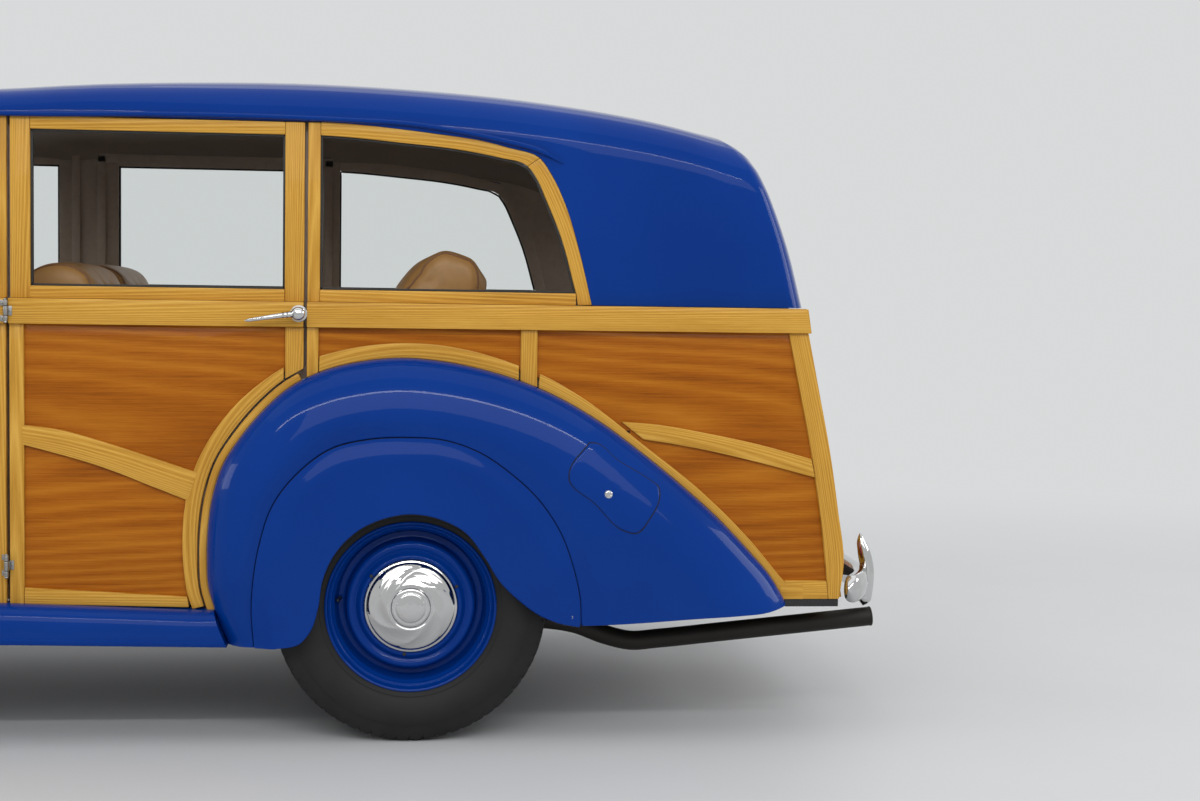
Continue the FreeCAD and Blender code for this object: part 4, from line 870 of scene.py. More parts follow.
def draughtStrips():
    # flat strips on the body's inner face that close the gaps round the doors
    faces = side["inner"] - 0.0008, side["inner"] - 0.007
    rim = straight(jointLine[jointLine[:, 0] < -0.29], 60)
    for label, sign in sides:
        spot = onSide(sign)
        strips = Shape()
        for x, low in ((-0.276, 0.925), (-1.021, 0.365), (-1.104, 0.365)):
            upright(strips, spot, x - 0.013, x + 0.013, low, levels["cant"], *faces)
        level(strips, spot, -1.035, -0.262, 1.578, 1.606, *faces)
        strips.board(beside(rim, 0.006), beside(rim, 0.034), spot, *faces)
        strips.piece(f"draughtStrips_{label}", "trim", "body", "leather", 0.0012)


quarters()
centrePosts()
draughtStrips()
print("quarters and posts built")


# rear wings: a rounded skin round the wood's arch, with a removable panel over the wheel
rearWing = {
    "swell": 0.095,  # how far it stands out from the body's side
    "roll": 0.175,  # width of the rounded shoulder
    "bulge": 0.008,
    "valley": 0.011,
    "gap": 0.0016,
    "joint": (
        (-0.469, 0.258), (-0.512, 0.37), (-0.524, 0.475), (-0.484, 0.72), (-0.313, 0.922), (-0.033, 0.999),
        (0.277, 0.943), (0.488, 0.838), (0.702, 0.676), (0.83, 0.562), (0.892, 0.496), (0.992, 0.358),
    ),
    "seam": (
        (-0.4, 0.257), (-0.406, 0.359), (-0.401, 0.436), (-0.386, 0.525), (-0.352, 0.627), (-0.282, 0.716),
        (-0.208, 0.77), (-0.107, 0.796), (-0.006, 0.801), (0.07, 0.797), (0.172, 0.764), (0.249, 0.713),
        (0.327, 0.641), (0.38, 0.564), (0.42, 0.46), (0.437, 0.382), (0.44, 0.314),
    ),
    "skirt": ((0.44, 0.314), (0.56, 0.319), (0.75, 0.332), (0.855, 0.338), (0.935, 0.3435), (0.98, 0.3525)),
    "opening": (
        (-0.346, 0.258), (-0.281, 0.274), (-0.256, 0.305), (-0.236, 0.369), (-0.226, 0.434), (-0.194, 0.505),
        (-0.131, 0.567), (-0.068, 0.595), (-0.004, 0.606), (0.072, 0.593), (0.136, 0.56), (0.188, 0.495),
        (0.227, 0.433), (0.28, 0.381), (0.332, 0.344), (0.384, 0.323), (0.434, 0.312),
    ),
    "flap": (
        (0.455, 0.786), (0.404, 0.716), (0.402, 0.7), (0.47, 0.632), (0.548, 0.562), (0.575, 0.556),
        (0.615, 0.598), (0.638, 0.642), (0.638, 0.672), (0.61, 0.694), (0.53, 0.742), (0.47, 0.786),
    ),
    "lock": (0.504, 0.656),
    "bolts": ((0.412, 0.337), (-0.372, 0.292)),
}
wingFoot = smoothed(((-0.469, 0.258), (-0.487, 0.298), (-0.503, 0.343)), 12)[:-1]
wingEdge = np.vstack([wingFoot, jointLine, ((0.9895, 0.365), (0.992, 0.358))])
seamLine = smoothed(rearWing["seam"], 200)


def wingOut(points, raised=0.0):
    # how far out the wing's skin is at each point of the side
    w = rearWing
    far = np.minimum(away(points, wingEdge) / w["roll"], 1)
    out = side["frame"] + w["swell"] * np.sqrt(1 - (1 - far) ** 2)
    seam = away(points, seamLine)
    front = eased((0.15 - np.array(points)[:, 0]) / 0.35)
    hollow = w["valley"] * np.exp(-((seam / 0.03) ** 2)) * (0.35 + 0.65 * front) * eased(far * 1.6)
    return out - hollow * (0.25 if raised else 1.0) + raised * eased(seam / 0.06)


def matched(line, keys, count):
    # points along a line, spread so that each key point has an even share
    p = np.array(line, float)
    run = np.concatenate([[0], np.cumsum(np.linalg.norm(np.diff(p, axis=0), axis=1))])
    marks = sorted(float(run[np.argmin(np.linalg.norm(p - np.array(k), axis=1))]) for k in keys)
    at = np.interp(np.linspace(0, len(marks) - 1, count), np.arange(len(marks)), marks)
    return np.stack([np.interp(at, run, p[:, k]) for k in range(2)], axis=1)


def skin(first, second, across, spot, raised, turnIn):
    # rows from one edge to another, each point lifted by the wing's shape; turnIn rolls the second edge inwards
    rows = []
    steps = eased(np.linspace(0, 1, across)) * 0.6 + np.linspace(0, 1, across) * 0.4
    grid = first[:, None, :] * (1 - steps[None, :, None]) + second[:, None, :] * steps[None, :, None]
    outs = wingOut(grid.reshape(-1, 2), raised).reshape(grid.shape[:2])
    for line, out in zip(grid, outs):
        row = [spot(p[0], p[1], o) for p, o in zip(line, out)]
        inward = line[-1] - line[-2]
        inward = inward / max(np.linalg.norm(inward), 1e-9)
        for along, drop in turnIn:
            q = line[-1] + inward * along
            row.append(spot(q[0], q[1], out[-1] - drop))
        rows.append(row)
    return rows


def rearWings():
    w = rearWing
    edge = matched(wingEdge, w["joint"], 200)
    lower = np.vstack([seamLine[:-1], smoothed(w["skirt"], 90)])
    keys = (
        (-0.4, 0.257), (-0.406, 0.345), (-0.403, 0.43), (-0.335, 0.65), (-0.19, 0.778), (-0.006, 0.801),
        (0.172, 0.764), (0.3, 0.672), (0.41, 0.485), (0.44, 0.314), (0.7, 0.328), (0.976, 0.37),
    )
    lower = matched(lower, keys, 200)
    opening = matched(smoothed(w["opening"], 240), w["opening"], 150)
    seamKeys = (
        (-0.399, 0.258), (-0.404, 0.35), (-0.402, 0.4), (-0.395, 0.48), (-0.372, 0.58), (-0.3, 0.7),
        (-0.208, 0.77), (-0.107, 0.796), (-0.006, 0.801), (0.09, 0.792), (0.19, 0.755), (0.275, 0.692),
        (0.34, 0.625), (0.385, 0.552), (0.415, 0.475), (0.432, 0.4), (0.439, 0.32),
    )
    seam = matched(seamLine, seamKeys, 150)
    for label, sign in sides:
        spot = onSide(sign)
        outer, cover = Shape(), Shape()
        roll = ((0.0012, 0.0012), (0.0018, 0.004), (0.0016, 0.01), (0.001, 0.026))
        outer.grid(skin(edge, lower, 40, spot, 0.0, roll))
        lip = ((0.0015, 0.0012), (0.0025, 0.0045), (0.002, 0.014), (-0.004, 0.034))
        cover.grid(skin(beside(seam, -w["gap"] * 2), opening, 34, spot, w["bulge"], lip))
        outer.piece(
            f"rearWing_{label}", "paint", "body", "paint", solid=0.0018, sharp=50, replaces=("rear_wings",),
            weld=0.0004,
        )
        cover.piece(f"wheelSpat_{label}", "paint", "body", "paint", solid=0.0018, sharp=50)
        groove = Shape()
        closeBy = beside(seamLine, 0.004), beside(seamLine, -0.006)
        outs = wingOut(seamLine) - 0.004
        groove.grid([[spot(a[0], a[1], o), spot(b[0], b[1], o)] for a, b, o in zip(*closeBy, outs)])
        groove.piece(f"spatGroove_{label}", "gap", "body", "paint", solid=0.001)
        fuelFlap(label, spot)
        fittings = Shape()
        for x, z in (w["lock"], *w["bolts"]):
            out = float(wingOut([(x, z)])[0])
            size = 1.0 if (x, z) == w["lock"] else 0.5
            ring = [(0, -0.004), (0.0105, -0.004), (0.0105, 0.0025), (0.0088, 0.0042), (0.007, 0.0046)]
            ring += [(0.0062, 0.0038), (0, 0.0038)]
            fittings.turned([(r * size, h) for r, h in ring], spot(x, z, out), (0, sign, 0), 32)
        fittings.piece(f"wingFittings_{label}", "chrome", "body", "chrome")


def fuelFlap(label, spot):
    # a flush door with a fine gap round it; each ring has a size and a lift
    outline = smoothed([*rearWing["flap"], rearWing["flap"][0]], 90)[:-1]
    centre = outline.mean(axis=0)
    flat = [(grow, 0.0026) for grow in (0.96, 0.85, 0.65, 0.4, 0.15, 0.001)]
    for name, finish, rings in (
        ("fuelFlap", "paint", [(1.0, -0.003), (1.0, 0.0006), (0.985, 0.0022), *flat]),
        ("fuelFlapGap", "gap", [(1.028, -0.002), (1.022, 0.0005), (1.0, 0.0006), (0.99, -0.002)]),
    ):
        rows = []
        for grow, lift in rings:
            ring = centre + (outline - centre) * grow
            rows.append([spot(*p, o + lift) for p, o in zip(ring, wingOut(ring))])
        Shape().grid(rows, wrapAcross=True).piece(f"{name}_{label}", finish, "body", "paint", sharp=50)


rearWings()
print("rear wings built")


# roof: rings that run back along one side, round the tail and forward along the other
roof = {
    "top": (
        (-1.765, 1.66), (-1.43, 1.676), (-1.104, 1.692), (-0.797, 1.719), (-0.583, 1.731), (-0.42, 1.7365),
        (-0.2, 1.7355), (0.0, 1.728), (0.236, 1.7125), (0.376, 1.698), (0.516, 1.68), (0.657, 1.656),
        (0.8, 1.622), (0.95, 1.576), (1.1, 1.515),
    ),
    "half": (
        (-1.765, 0.697), (-1.43, 0.733), (-1.104, 0.758), (-0.45, 0.76), (0.5, 0.76), (0.8, 0.752), (1.1, 0.738)
    ),
    "rise": ((-1.765, 0.054), (-1.43, 0.068), (-1.104, 0.084), (-0.45, 0.13), (0.3, 0.134), (1.1, 0.134)),
    "tail": (
        (1.1, 1.076), (1.14, 1.065), (1.303, 1.02), (1.4, 0.984), (1.454, 0.961), (1.525, 0.924), (1.57, 0.884),
        (1.605, 0.832), (1.632, 0.76),
    ),
    "bow": 0.008, "full": 0.76,  # full is the sections' half width
    "corner": 0.115,
    "power": 4.5,
    "across": [0.0, 0.1, 0.2, 0.3, 0.4, 0.5, 0.575, 0.61, 0.6375, 0.6425, 0.665],
    "stations": [-1.765, -1.7, -1.6, -1.5, -1.4, -1.3, -1.2, -1.104, -1.0, -0.9, -0.8, -0.7, -0.6, -0.5, -0.4, -0.31,
                 -0.24, -0.18, -0.1, -0.038, 0.03, 0.1, 0.168, 0.21, 0.245, 0.285, 0.306, 0.324, 0.34, 0.356, 0.375,
                 0.393,
                 0.41, 0.426, 0.439, 0.452, 0.465, 0.4652],
    "section": ((0.0, 1.0), (0.0035, 0.86), (0.011, 0.7), (0.022, 0.54), (0.04, 0.41), (0.067, 0.31), (0.105, 0.235),
                (0.17, 0.165), (0.26, 0.105), (0.37, 0.057), (0.5, 0.022), (0.63, 0.006), (0.76, 0.0)),
}
hatch = {"low": 1.14, "high": 1.537, "inset": 0.065, "gap": 0.005}


roofTop = smoothed(roof["top"], 240)
roofHalf = smoothed(roof["half"], 120)
roofTail = smoothed(roof["tail"], 120)
windowTop = smoothed(quarter["frameTop"], 120)


def roofLow(x):
    # the roof's lower edge: along the doors, down behind the quarter window, and along the belt
    if x < -0.235:
        return 1.6015
    return below(windowTop, x) if x < 0.465 else 1.1415


def tailAt(z):
    return float(np.interp(z, roofTail[:, 0], roofTail[:, 1]))


def roofSection(x, drop):
    # distance out and height; drop is the share of the rise below the crown, and past 1 it goes down the side
    top, half, rise = below(roofTop, x), below(roofHalf, x), below(roof["rise"], x)
    if drop > 1:
        return half, (top - rise) + (roofLow(x) - (top - rise)) * (drop - 1)
    cuts = np.array(roof["section"])[::-1]
    return half * (1 - float(np.interp(drop, cuts[:, 1], cuts[:, 0])) / roof["full"]), top - drop * rise


def roofReach(drop):
    # where a ring meets the tail
    low, high = 0.5, 1.2
    for _ in range(24):
        x = (low + high) / 2
        if x < tailAt(roofSection(x, drop)[1]):
            low = x
        else:
            high = x
    return low


def dropFor(z):
    # the ring that crosses the tail at a height
    x = tailAt(z)
    top, rise = below(roofTop, x), below(roof["rise"], x)
    share = (top - z) / rise
    return share if share <= 1 else 1 + (top - rise - z) / (top - rise - roofLow(x))


def roofRing(drop, shrink=0.0, lower=0.0):
    # one ring's right half, from the middle of the tail to the windscreen
    reach = roofReach(drop)
    width, z = roofSection(reach, drop)
    corner, power = min(roof["corner"], 0.5 * width + 0.02), roof["power"]
    start = reach - corner
    points = []
    flat = [y * min(1, width / 0.72) for y in roof["across"]]
    last = math.asin(min(1, (flat[-1] / max(width, 1e-6)) ** (power / 2)))
    angles = [math.asin(min(1, (y / max(width, 1e-6)) ** (power / 2))) for y in flat]
    angles += [last + (math.pi / 2 - last) * k / 9 for k in range(1, 10)]
    for angle in angles:
        y = width * max(0.0, math.sin(angle)) ** (2 / power)
        x = start + corner * max(0.0, math.cos(angle)) ** (2 / power)
        high = z + (roofSection(start, drop)[1] - z) * eased((reach - x) / corner)
        points.append((x + roof["bow"] * (1 - (y / roof["full"]) ** 2), y, high))
    along = [start - (start - 0.47) * k / 8 for k in range(1, 8)] + roof["stations"][::-1]
    for x in along:
        points.append((x, *roofSection(x, drop)))
    x, y, high = points[-1]
    points += [(x - 0.004, y, high - 0.0015), (x - 0.008, y, high - 0.006), (x - 0.009, y, high - 0.016)]
    narrow = 1 - shrink / roof["full"]
    return [(axleX + x - math.copysign(shrink, x), y * narrow, high - lower) for x, y, high in points]


def bothSides(half):
    # a ring's right half and its mirror image, joined at the tail's middle
    return [(x, -y, z) for x, y, z in reversed(half[1:])] + half


def makeRoof():
    h = hatch
    crown = [0, 0.006, 0.022, 0.057, 0.105, 0.165, 0.235, 0.31, 0.41]
    window = dropFor(h["high"] - h["inset"] * 0.95), dropFor(h["low"] + h["inset"])
    edges = dropFor(h["high"] + h["gap"]), dropFor(h["high"]), dropFor(h["low"] + 0.006)
    drops = crown + [edges[0], edges[1], 0.62, 0.74, window[0], 0.93, 1.0, 1.06, 1.16, 1.28, 1.42, 1.56, 1.7]
    drops += [window[1], (window[1] + edges[2]) / 2, edges[2], 2.0]
    drops = sorted(drops)
    halves = [roofRing(drop) for drop in drops]
    cells = [(i, j) for i in range(len(drops) - 1) for j in range(2 * len(halves[0]) - 2)]
    across = roof["across"]
    a, b, c = across.index(0.575), across.index(0.6375), across.index(0.6425)
    skin, frame, lining = Shape(), Shape(), Shape()
    rows = [bothSides(half) for half in halves]
    last = len(halves[0]) - 1
    outwards = lambda j: max(abs(j - last), abs(j + 1 - last)) - 1  # cells out from the tail's middle
    for i, j in cells:
        cell = [row[j : j + 2] for row in rows[i : i + 2]]
        inPane = window[0] <= drops[i] < window[1] and outwards(j) < a
        if not (edges[0] <= drops[i] < edges[2] and outwards(j) < c):
            skin.grid(cell)
        elif edges[1] <= drops[i] and outwards(j) < b and not inPane:
            frame.grid(cell)
    skin.piece("roofSkin", "paint", "body", "paint", solid=0.003, sharp=50, weld=0.0002, replaces=("roof",))
    # the panel over the windscreen
    header, front = Shape(), roof["stations"][0]
    edge = [roofSection(front, drop) for drop in crown + [0.55, 0.7, 0.85, 0.97]]
    edge = np.array([(-y, z) for y, z in edge[::-1]] + edge[1:])
    spot = lambda y, z, out: (axleX + front - 0.004 - out, y, z)
    header.board([(y, 1.5985) for y, _ in edge], [(y, z - 0.004) for y, z in edge], spot, 0.003, -0.01)
    header.piece("screenHeader", "paint", "body", "paint", 0.001)
    frame.piece(
        "hatchFrame", "paint", "tail_hatch", "paint", solid=0.022, sharp=35, weld=0.0002, replaces=("tail_hatch",)
    )
    # the cloth overhead and the trimmed sides behind the quarter windows
    walls = Shape()
    rows = [bothSides(roofRing(drop, 0.026, 0.024)) for drop in drops]
    for i, j in cells:
        cell = [row[j : j + 2] for row in rows[i : i + 2]]
        overhead, x = drops[i + 1] <= 1.06, cell[0][0][0] - axleX
        shoulder = drops[i + 1] <= 1.16 and x > 0.1
        if not (edges[0] <= drops[i] and outwards(j) < c) and (overhead or shoulder or x > 0.3):
            (lining if overhead else walls).grid(cell)
    lining.piece("headlining", "lining", "body", "leather", solid=0.002, weld=0.0002)
    walls.piece("tailLining", "trim", "body", "leather", solid=0.002, weld=0.0002)


dripRail = (
    (-1.755, 1.6), (-1.43, 1.5995), (-1.104, 1.5965), (-0.92, 1.598), (-0.672, 1.604), (-0.421, 1.6055),
    (-0.294, 1.604), (-0.167, 1.601), (-0.039, 1.597), (0.064, 1.586), (0.22, 1.559), (0.325, 1.533),
    (0.384, 1.504),
)


def dripRails():
    section = [
        (-0.004, -0.0045), (0.01, -0.0045), (0.015, -0.0025), (0.0165, 0.002), (0.0158, 0.007), (0.0132, 0.0076),
        (0.0115, 0.003), (-0.004, 0.003),
    ]
    for label, sign in sides:
        path, sizes = [], []
        line = smoothed(dripRail, 150)
        for k, (x, z) in enumerate(line):
            path.append((axleX + x, sign * (below(roofHalf, x) - 0.0008), z + 0.004))
            sizes.append(min(1.0, 0.25 + 0.75 * min(k, len(line) - 1 - k) / 4))
        rail = Shape().sweep(path, [(-sign * a, b) for a, b in section] if sign > 0 else section, scales=sizes)
        rail.piece(f"dripRail_{label}", "paint", "body", "paint", sharp=60)


makeRoof()
dripRails()
print("roof built")


def dress(finish, *names):
    # gives carried-over parts a finish
    for name in names:
        for slot in nodes[name].material_slots:
            slot.material = finishes[finish]


dress(
    "glass", "fixed_glass", "tail_hatch_glass",
    *(f"{end}_door_glass_{label}" for end in ("front", "rear") for label, _ in sides)
)
dress("paint", "front_wings", "bonnet_left", "bonnet_right", "cowl", "windscreen_frame")


# wheels: a pressed disc in a well-based rim, with a chrome cap
wheel = {
    # (radius, distance out) pairs
    "face": (
        (0.2222, 0.056), (0.2232, 0.064), (0.2218, 0.0686), (0.219, 0.07), (0.2158, 0.0686), (0.2142, 0.064),
        (0.213, 0.056), (0.2105, 0.05), (0.206, 0.047), (0.204, 0.045), (0.2032, 0.04), (0.2012, 0.0365),
        (0.1985, 0.034), (0.1968, 0.029), (0.195, 0.012), (0.193, -0.004), (0.188, -0.012), (0.179, -0.0135),
        (0.1725, -0.011), (0.17, -0.004), (0.1685, 0.012), (0.1672, 0.024), (0.165, 0.031), (0.16, 0.0352),
        (0.154, 0.0362), (0.149, 0.0345), (0.1455, 0.0318), (0.1425, 0.0312), (0.1395, 0.0335), (0.1365, 0.0385),
        (0.133, 0.0435), (0.129, 0.046), (0.125, 0.0465), (0.1225, 0.045), (0.1215, 0.04), (0.06, 0.04),
        (0.0, 0.04),
    ),
    "back": ((0.0, 0.037), (0.16, 0.03), (0.166, 0.01), (0.169, -0.017), (0.19, -0.017)),
    "barrel": (
        (0.2222, 0.056), (0.218, 0.048), (0.212, 0.043), (0.2075, 0.036), (0.205, 0.0), (0.206, -0.03),
        (0.212, -0.043),
        (0.219, -0.05), (0.2222, -0.056), (0.2232, -0.064), (0.2205, -0.069), (0.2165, -0.067), (0.214, -0.06),
        (0.208, -0.048), (0.202, -0.04), (0.1985, -0.02), (0.1975, 0.01), (0.1985, 0.033),
    ),
    "cap": (
        (0.1212, 0.04), (0.1228, 0.046), (0.1225, 0.05), (0.1205, 0.0535), (0.1175, 0.0552), (0.115, 0.056),
        (0.112, 0.0585),
        (0.105, 0.064), (0.094, 0.07), (0.082, 0.075), (0.07, 0.0785), (0.061, 0.0802), (0.057, 0.08),
        (0.0545, 0.0786), (0.052, 0.079), (0.0505, 0.0812), (0.048, 0.0832), (0.044, 0.0842), (0.04, 0.0838),
        (0.0385, 0.0842),
        (0.036, 0.0865), (0.028, 0.0883), (0.018, 0.0893), (0.008, 0.0897), (0.0, 0.0898),
    ),
    "swirl": (0.06, 0.1085, 0.0042, 2.6),
}
tyre = {"grooves": (-0.033, -0.011, 0.011, 0.033), "groove": 0.003, "depth": 0.0055, "pitches": 64, "steps": 6}


def hubCap(centre, sign):
    # a bright cap whose dome is pressed into swirling scoops round a plain boss
    (cx, cy, cz), (low, high, deep, twist) = centre, wheel["swirl"]
    rows = []
    for radius, out in straight(wheel["cap"], 90):
        share = min(1.0, max(0.0, (radius - low) / (high - low)))
        ring = []
        for a in turns(180):
            scoop = deep * math.sin(math.pi * share) ** 0.8 * abs(math.sin(3 * a + twist * share)) ** 0.8
            ring.append((cx + radius * math.cos(a), cy + sign * (out - scoop), cz + radius * math.sin(a)))
        rows.append(ring)
    return Shape().grid(rows, wrapAcross=True)


def wheelPieces(label, body, centre, sign):
    axis = (0, sign, 0)
    form = Shape()
    form.turned([*wheel["face"], *wheel["back"]], centre, axis, 144)
    form.turned([*wheel["barrel"], wheel["barrel"][0]], centre, axis, 144)
    form.piece(
        f"wheel_{label}", "shadedWheelPaint", body, "wheel_paint", sharp=42, weld=0.00005, replaces=(f"wheel_{label}",)
    )
    hubCap(centre, sign).piece(f"hubCap_{label}", "chrome", body, "chrome", sharp=30)
    valve = Shape()
    foot = Vector(centre) + Vector((-0.184, sign * -0.01, 0.012))
    stem = [
        (0.0, 0.0), (0.0055, 0.0), (0.0052, 0.012), (0.0036, 0.016), (0.0036, 0.03), (0.0044, 0.031),
        (0.0044, 0.04), (0.003, 0.043), (0, 0.0435),
    ]
    valve.turned(stem, foot, (-0.12, sign, 0.0), 20)
    clip = [(0, -0.002), (0.0048, -0.002), (0.0048, 0.001), (0.0038, 0.0028), (0, 0.0036)]
    for k in range(3):  # clips that hold the cap
        turn = 2 * math.pi * k / 3 + 0.4
        spot = Vector(centre) + Vector((0.1285 * math.cos(turn), sign * 0.0455, 0.1285 * math.sin(turn)))
        valve.turned(clip, spot, axis, 20)
    valve.piece(f"wheelFittings_{label}", "black", body, "chrome")


def tyrePiece(label, body, centre, sign):
    (low, high), (cx, cy, cz) = nodeBox(f"tyre_{label}"), centre
    outer, half = (high[2] - low[2]) / 2, (high[1] - low[1]) / 2
    r = lambda k: outer - k
    shoulder = [
        (0.215, 0.052), (0.2175, 0.0615), (0.2215, 0.0655), (0.2262, 0.0665), (0.23, 0.069), (0.234, 0.0715),
        (0.2362, 0.0712), (0.2385, 0.0732), (0.248, half * 0.93), (0.262, half * 0.975), (0.276, half * 0.998),
        (0.289, half * 0.99), (0.301, half * 0.96), (0.309, half * 0.925), (0.312, half * 0.9),
        (0.315, half * 0.888), (0.322, half * 0.86), (0.33, half * 0.825), (0.338, half * 0.785),
        (0.343, half * 0.755),
    ]
    tread = [(0.347, half * 0.73), (r(0.0058), half * 0.705), (r(0.0042), half * 0.66), (r(0.003), half * 0.58)]
    across = []
    for at in tyre["grooves"]:
        g = tyre["groove"] / 2
        across += [at - g - 0.0006, at - g + 0.0004, at + g - 0.0004, at + g + 0.0006]
    across = sorted(across + [-0.022, 0.0, 0.022, -0.04, 0.04])
    crown = [(r(0.003 * (y / 0.045) ** 2), y) for y in reversed(across)]
    profile = shoulder + tread + crown + [(a, -b) for a, b in reversed(shoulder + tread)]
    inside = [(0.213, -0.045), (0.211, 0.0), (0.213, 0.045)]
    profile = profile + inside + [profile[0]]
    count = tyre["pitches"] * tyre["steps"]
    start = len(shoulder)
    end = len(profile) - len(inside) - 1 - len(shoulder)
    rows = []
    for index, (radius, out) in enumerate(profile):
        ring = []
        inTread = start <= index < end
        inGroove = inTread and any(abs(out - g) < tyre["groove"] / 2 for g in tyre["grooves"])
        for k in range(count):
            turn = 2 * math.pi * (k + (0.45 if abs(out) < 0.02 and inTread else 0)) / count
            sunk = tyre["depth"] if inGroove else 0.0
            if inTread and abs(out) > 0.036 and k % tyre["steps"] == 0:
                sunk = max(sunk, tyre["depth"] * 0.9)
            if inTread and abs(out) < 0.034 and not inGroove and k % tyre["steps"] == 3:
                sunk = max(sunk, tyre["depth"] * 0.35)
            if index in (start - 1, end) and k % tyre["steps"] == 0:
                sunk = tyre["depth"] * 0.7
            reach = radius - sunk
            ring.append((cx + reach * math.cos(turn), cy + sign * out, cz + reach * math.sin(turn)))
        rows.append(ring)
    form = Shape().grid(rows, wrapAcross=True)
    form.piece(f"tyre_{label}", "rubber", body, "tyre", sharp=32, weld=0.00005, replaces=(f"tyre_{label}",))


def makeWheels():
    for end in ("front", "rear"):
        for hand, sign in sides:
            label, body = f"{end}_{hand}", f"{end}_wheel_{hand}"
            centre = middle(f"tyre_{label}")
            wheelPieces(label, body, centre, sign)
            tyrePiece(label, body, centre, sign)


makeWheels()
print("wheels built")


# running boards, bumpers and the exhaust
board = {"front": -2.14, "back": -0.462, "out": 0.838}
boardEnd = ((0.256, 0.298, 0.347), (-0.4675, -0.486, -0.5045))  # the board's rear end follows the wing's edge


def runningBoards():
    b = board
    for label, sign in sides:
        form, rows = Shape(), []
        for t in np.linspace(0, 1, 40):
            x = b["front"] + (b["back"] - b["front"]) * t
            top = float(np.interp(x, (-1.05, -0.47), (0.3665, 0.3455)))
            foot = float(np.interp(x, (-1.0, -0.455), (0.265, 0.256)))
            face, out = b["out"] - 0.003, b["out"]
            row = [
                (0.742, top - 0.002), (0.792, top - 0.002), (0.808, top - 0.005), (0.82, top - 0.012),
                (0.829, top - 0.024),
                (face - 0.001, top - 0.04), (face, foot + 0.03), (face, foot + 0.0155), (out, foot + 0.0135),
                (out, foot + 0.005),
                (out - 0.003, foot), (out - 0.06, foot), (out - 0.062, foot + 0.006), (0.742, foot + 0.006),
            ]
            ends = [float(np.interp(z, *boardEnd)) for _, z in row]
            rows.append(
                [(axleX + b["front"] + (end - b["front"]) * t, sign * y, z) for end, (y, z) in zip(ends, row)]
            )
        form.tube(rows)
        form.piece(f"runningBoard_{label}", "paint", "body", "paint", sharp=40, replaces=("running_boards",))


bumper = {
    "height": 0.075, "thick": 0.044, "bend": 0.074, "wrap": 0.26, "z": 0.395, "horns": 0.59, "hornFoot": 0.318,
    "hornTall": 0.202, "hornOval": (0.0215, 0.0185),
    "irons": ((0.36, 0.38, 0.425), (0.2, 0.382, 0.405), (0.035, 0.39, 0.395)),  # back from the face, across, height
    "bolt": ((0, -0.006), (0.017, -0.006), (0.017, 0.001), (0.013, 0.006), (0.006, 0.009), (0, 0.0095)),
}


def bumperBar(name, node, way):
    # a sprung blade with a rounded face and bulbous ends; way is 1 at the tail and -1 at the nose
    low, high = nodeBox(node)
    face = high[0] if way > 0 else low[0]
    half = min(high[1], -low[1])
    b = bumper
    path, sizes = [], []
    for k in range(121):
        y = -half + 2 * half * k / 120
        t = max(0.0, (abs(y) - (half - b["wrap"])) / b["wrap"])
        x = face - way * (b["thick"] * 0.5 + 0.004 + 0.012 * (y / half) ** 2 + b["bend"] * t ** 2.2)
        path.append((x, y, b["z"]))
        end = (half - abs(y)) / 0.03
        sizes.append(1.0 if end > 1 else max(0.04, math.sqrt(max(0.0, 1 - (1 - end) ** 2))))
    h, d = b["height"] / 2, b["thick"] / 2
    section = []
    for a in turns(28):
        out, rise = d * powered(math.cos(a), 0.62), h * powered(math.sin(a), 0.8)
        crease = 0.0022 * math.exp(-((rise / 0.006) ** 2)) if out > 0 else 0
        section.append(((out + crease) * way, rise))
    form = Shape().sweep(path, section, scales=sizes)
    # overriders: curved horns that stand astride the bar
    for sign in (-1, 1):
        spine, grow = [], []
        for k in range(31):
            t = k / 30
            z = b["hornFoot"] + b["hornTall"] * t
            lean = 0.01 * math.sin(math.pi * min(1, t * 1.15)) - 0.03 * max(0, t - 0.45) ** 1.4
            spine.append((face - way * (0.019 - lean), sign * b["horns"], z))
            foot, tip = math.sin(math.pi / 2 * t / 0.1), math.cos(math.pi / 2 * (t - 0.62) / 0.38)
            grow.append(max(0.05, foot if t < 0.1 else 1.0 if t < 0.62 else tip ** 0.62))
        deep, wide = b["hornOval"]
        oval = [(deep * powered(math.cos(a), 0.85), wide * math.sin(a)) for a in turns(28)]
        form.sweep(spine, oval, up=(way, 0, 0), scales=grow)
    form.piece(name, "chrome", "body", "chrome", sharp=45, replaces=(node,))
    irons = Shape()
    for sign in (-1, 1):
        line = smoothed([(face - way * x, sign * y, z) for x, y, z in b["irons"]], 20)
        irons.sweep(line, rounded(0.012, 0.052, 0.004, 3), up=(0, 0, 1))
        form.turned(b["bolt"], (face - way * 0.006, sign * 0.385, b["z"]), (way, 0, 0), 28)
    irons.piece(name + "Irons", "chassis", "body", "chassis_steel")


tailPipe = {
    "line": (
        (-0.9, 0.33), (-0.3, 0.298), (0.0, 0.281), (0.2, 0.28), (0.36, 0.284), (0.45, 0.27), (0.53, 0.24),
        (0.6, 0.2235), (0.68, 0.229), (0.85, 0.246), (1.06, 0.267), (1.269, 0.288),
    ),
    "across": -0.5896, "radius": 0.0262, "silencer": (-0.8, -0.28, 0.056),
}


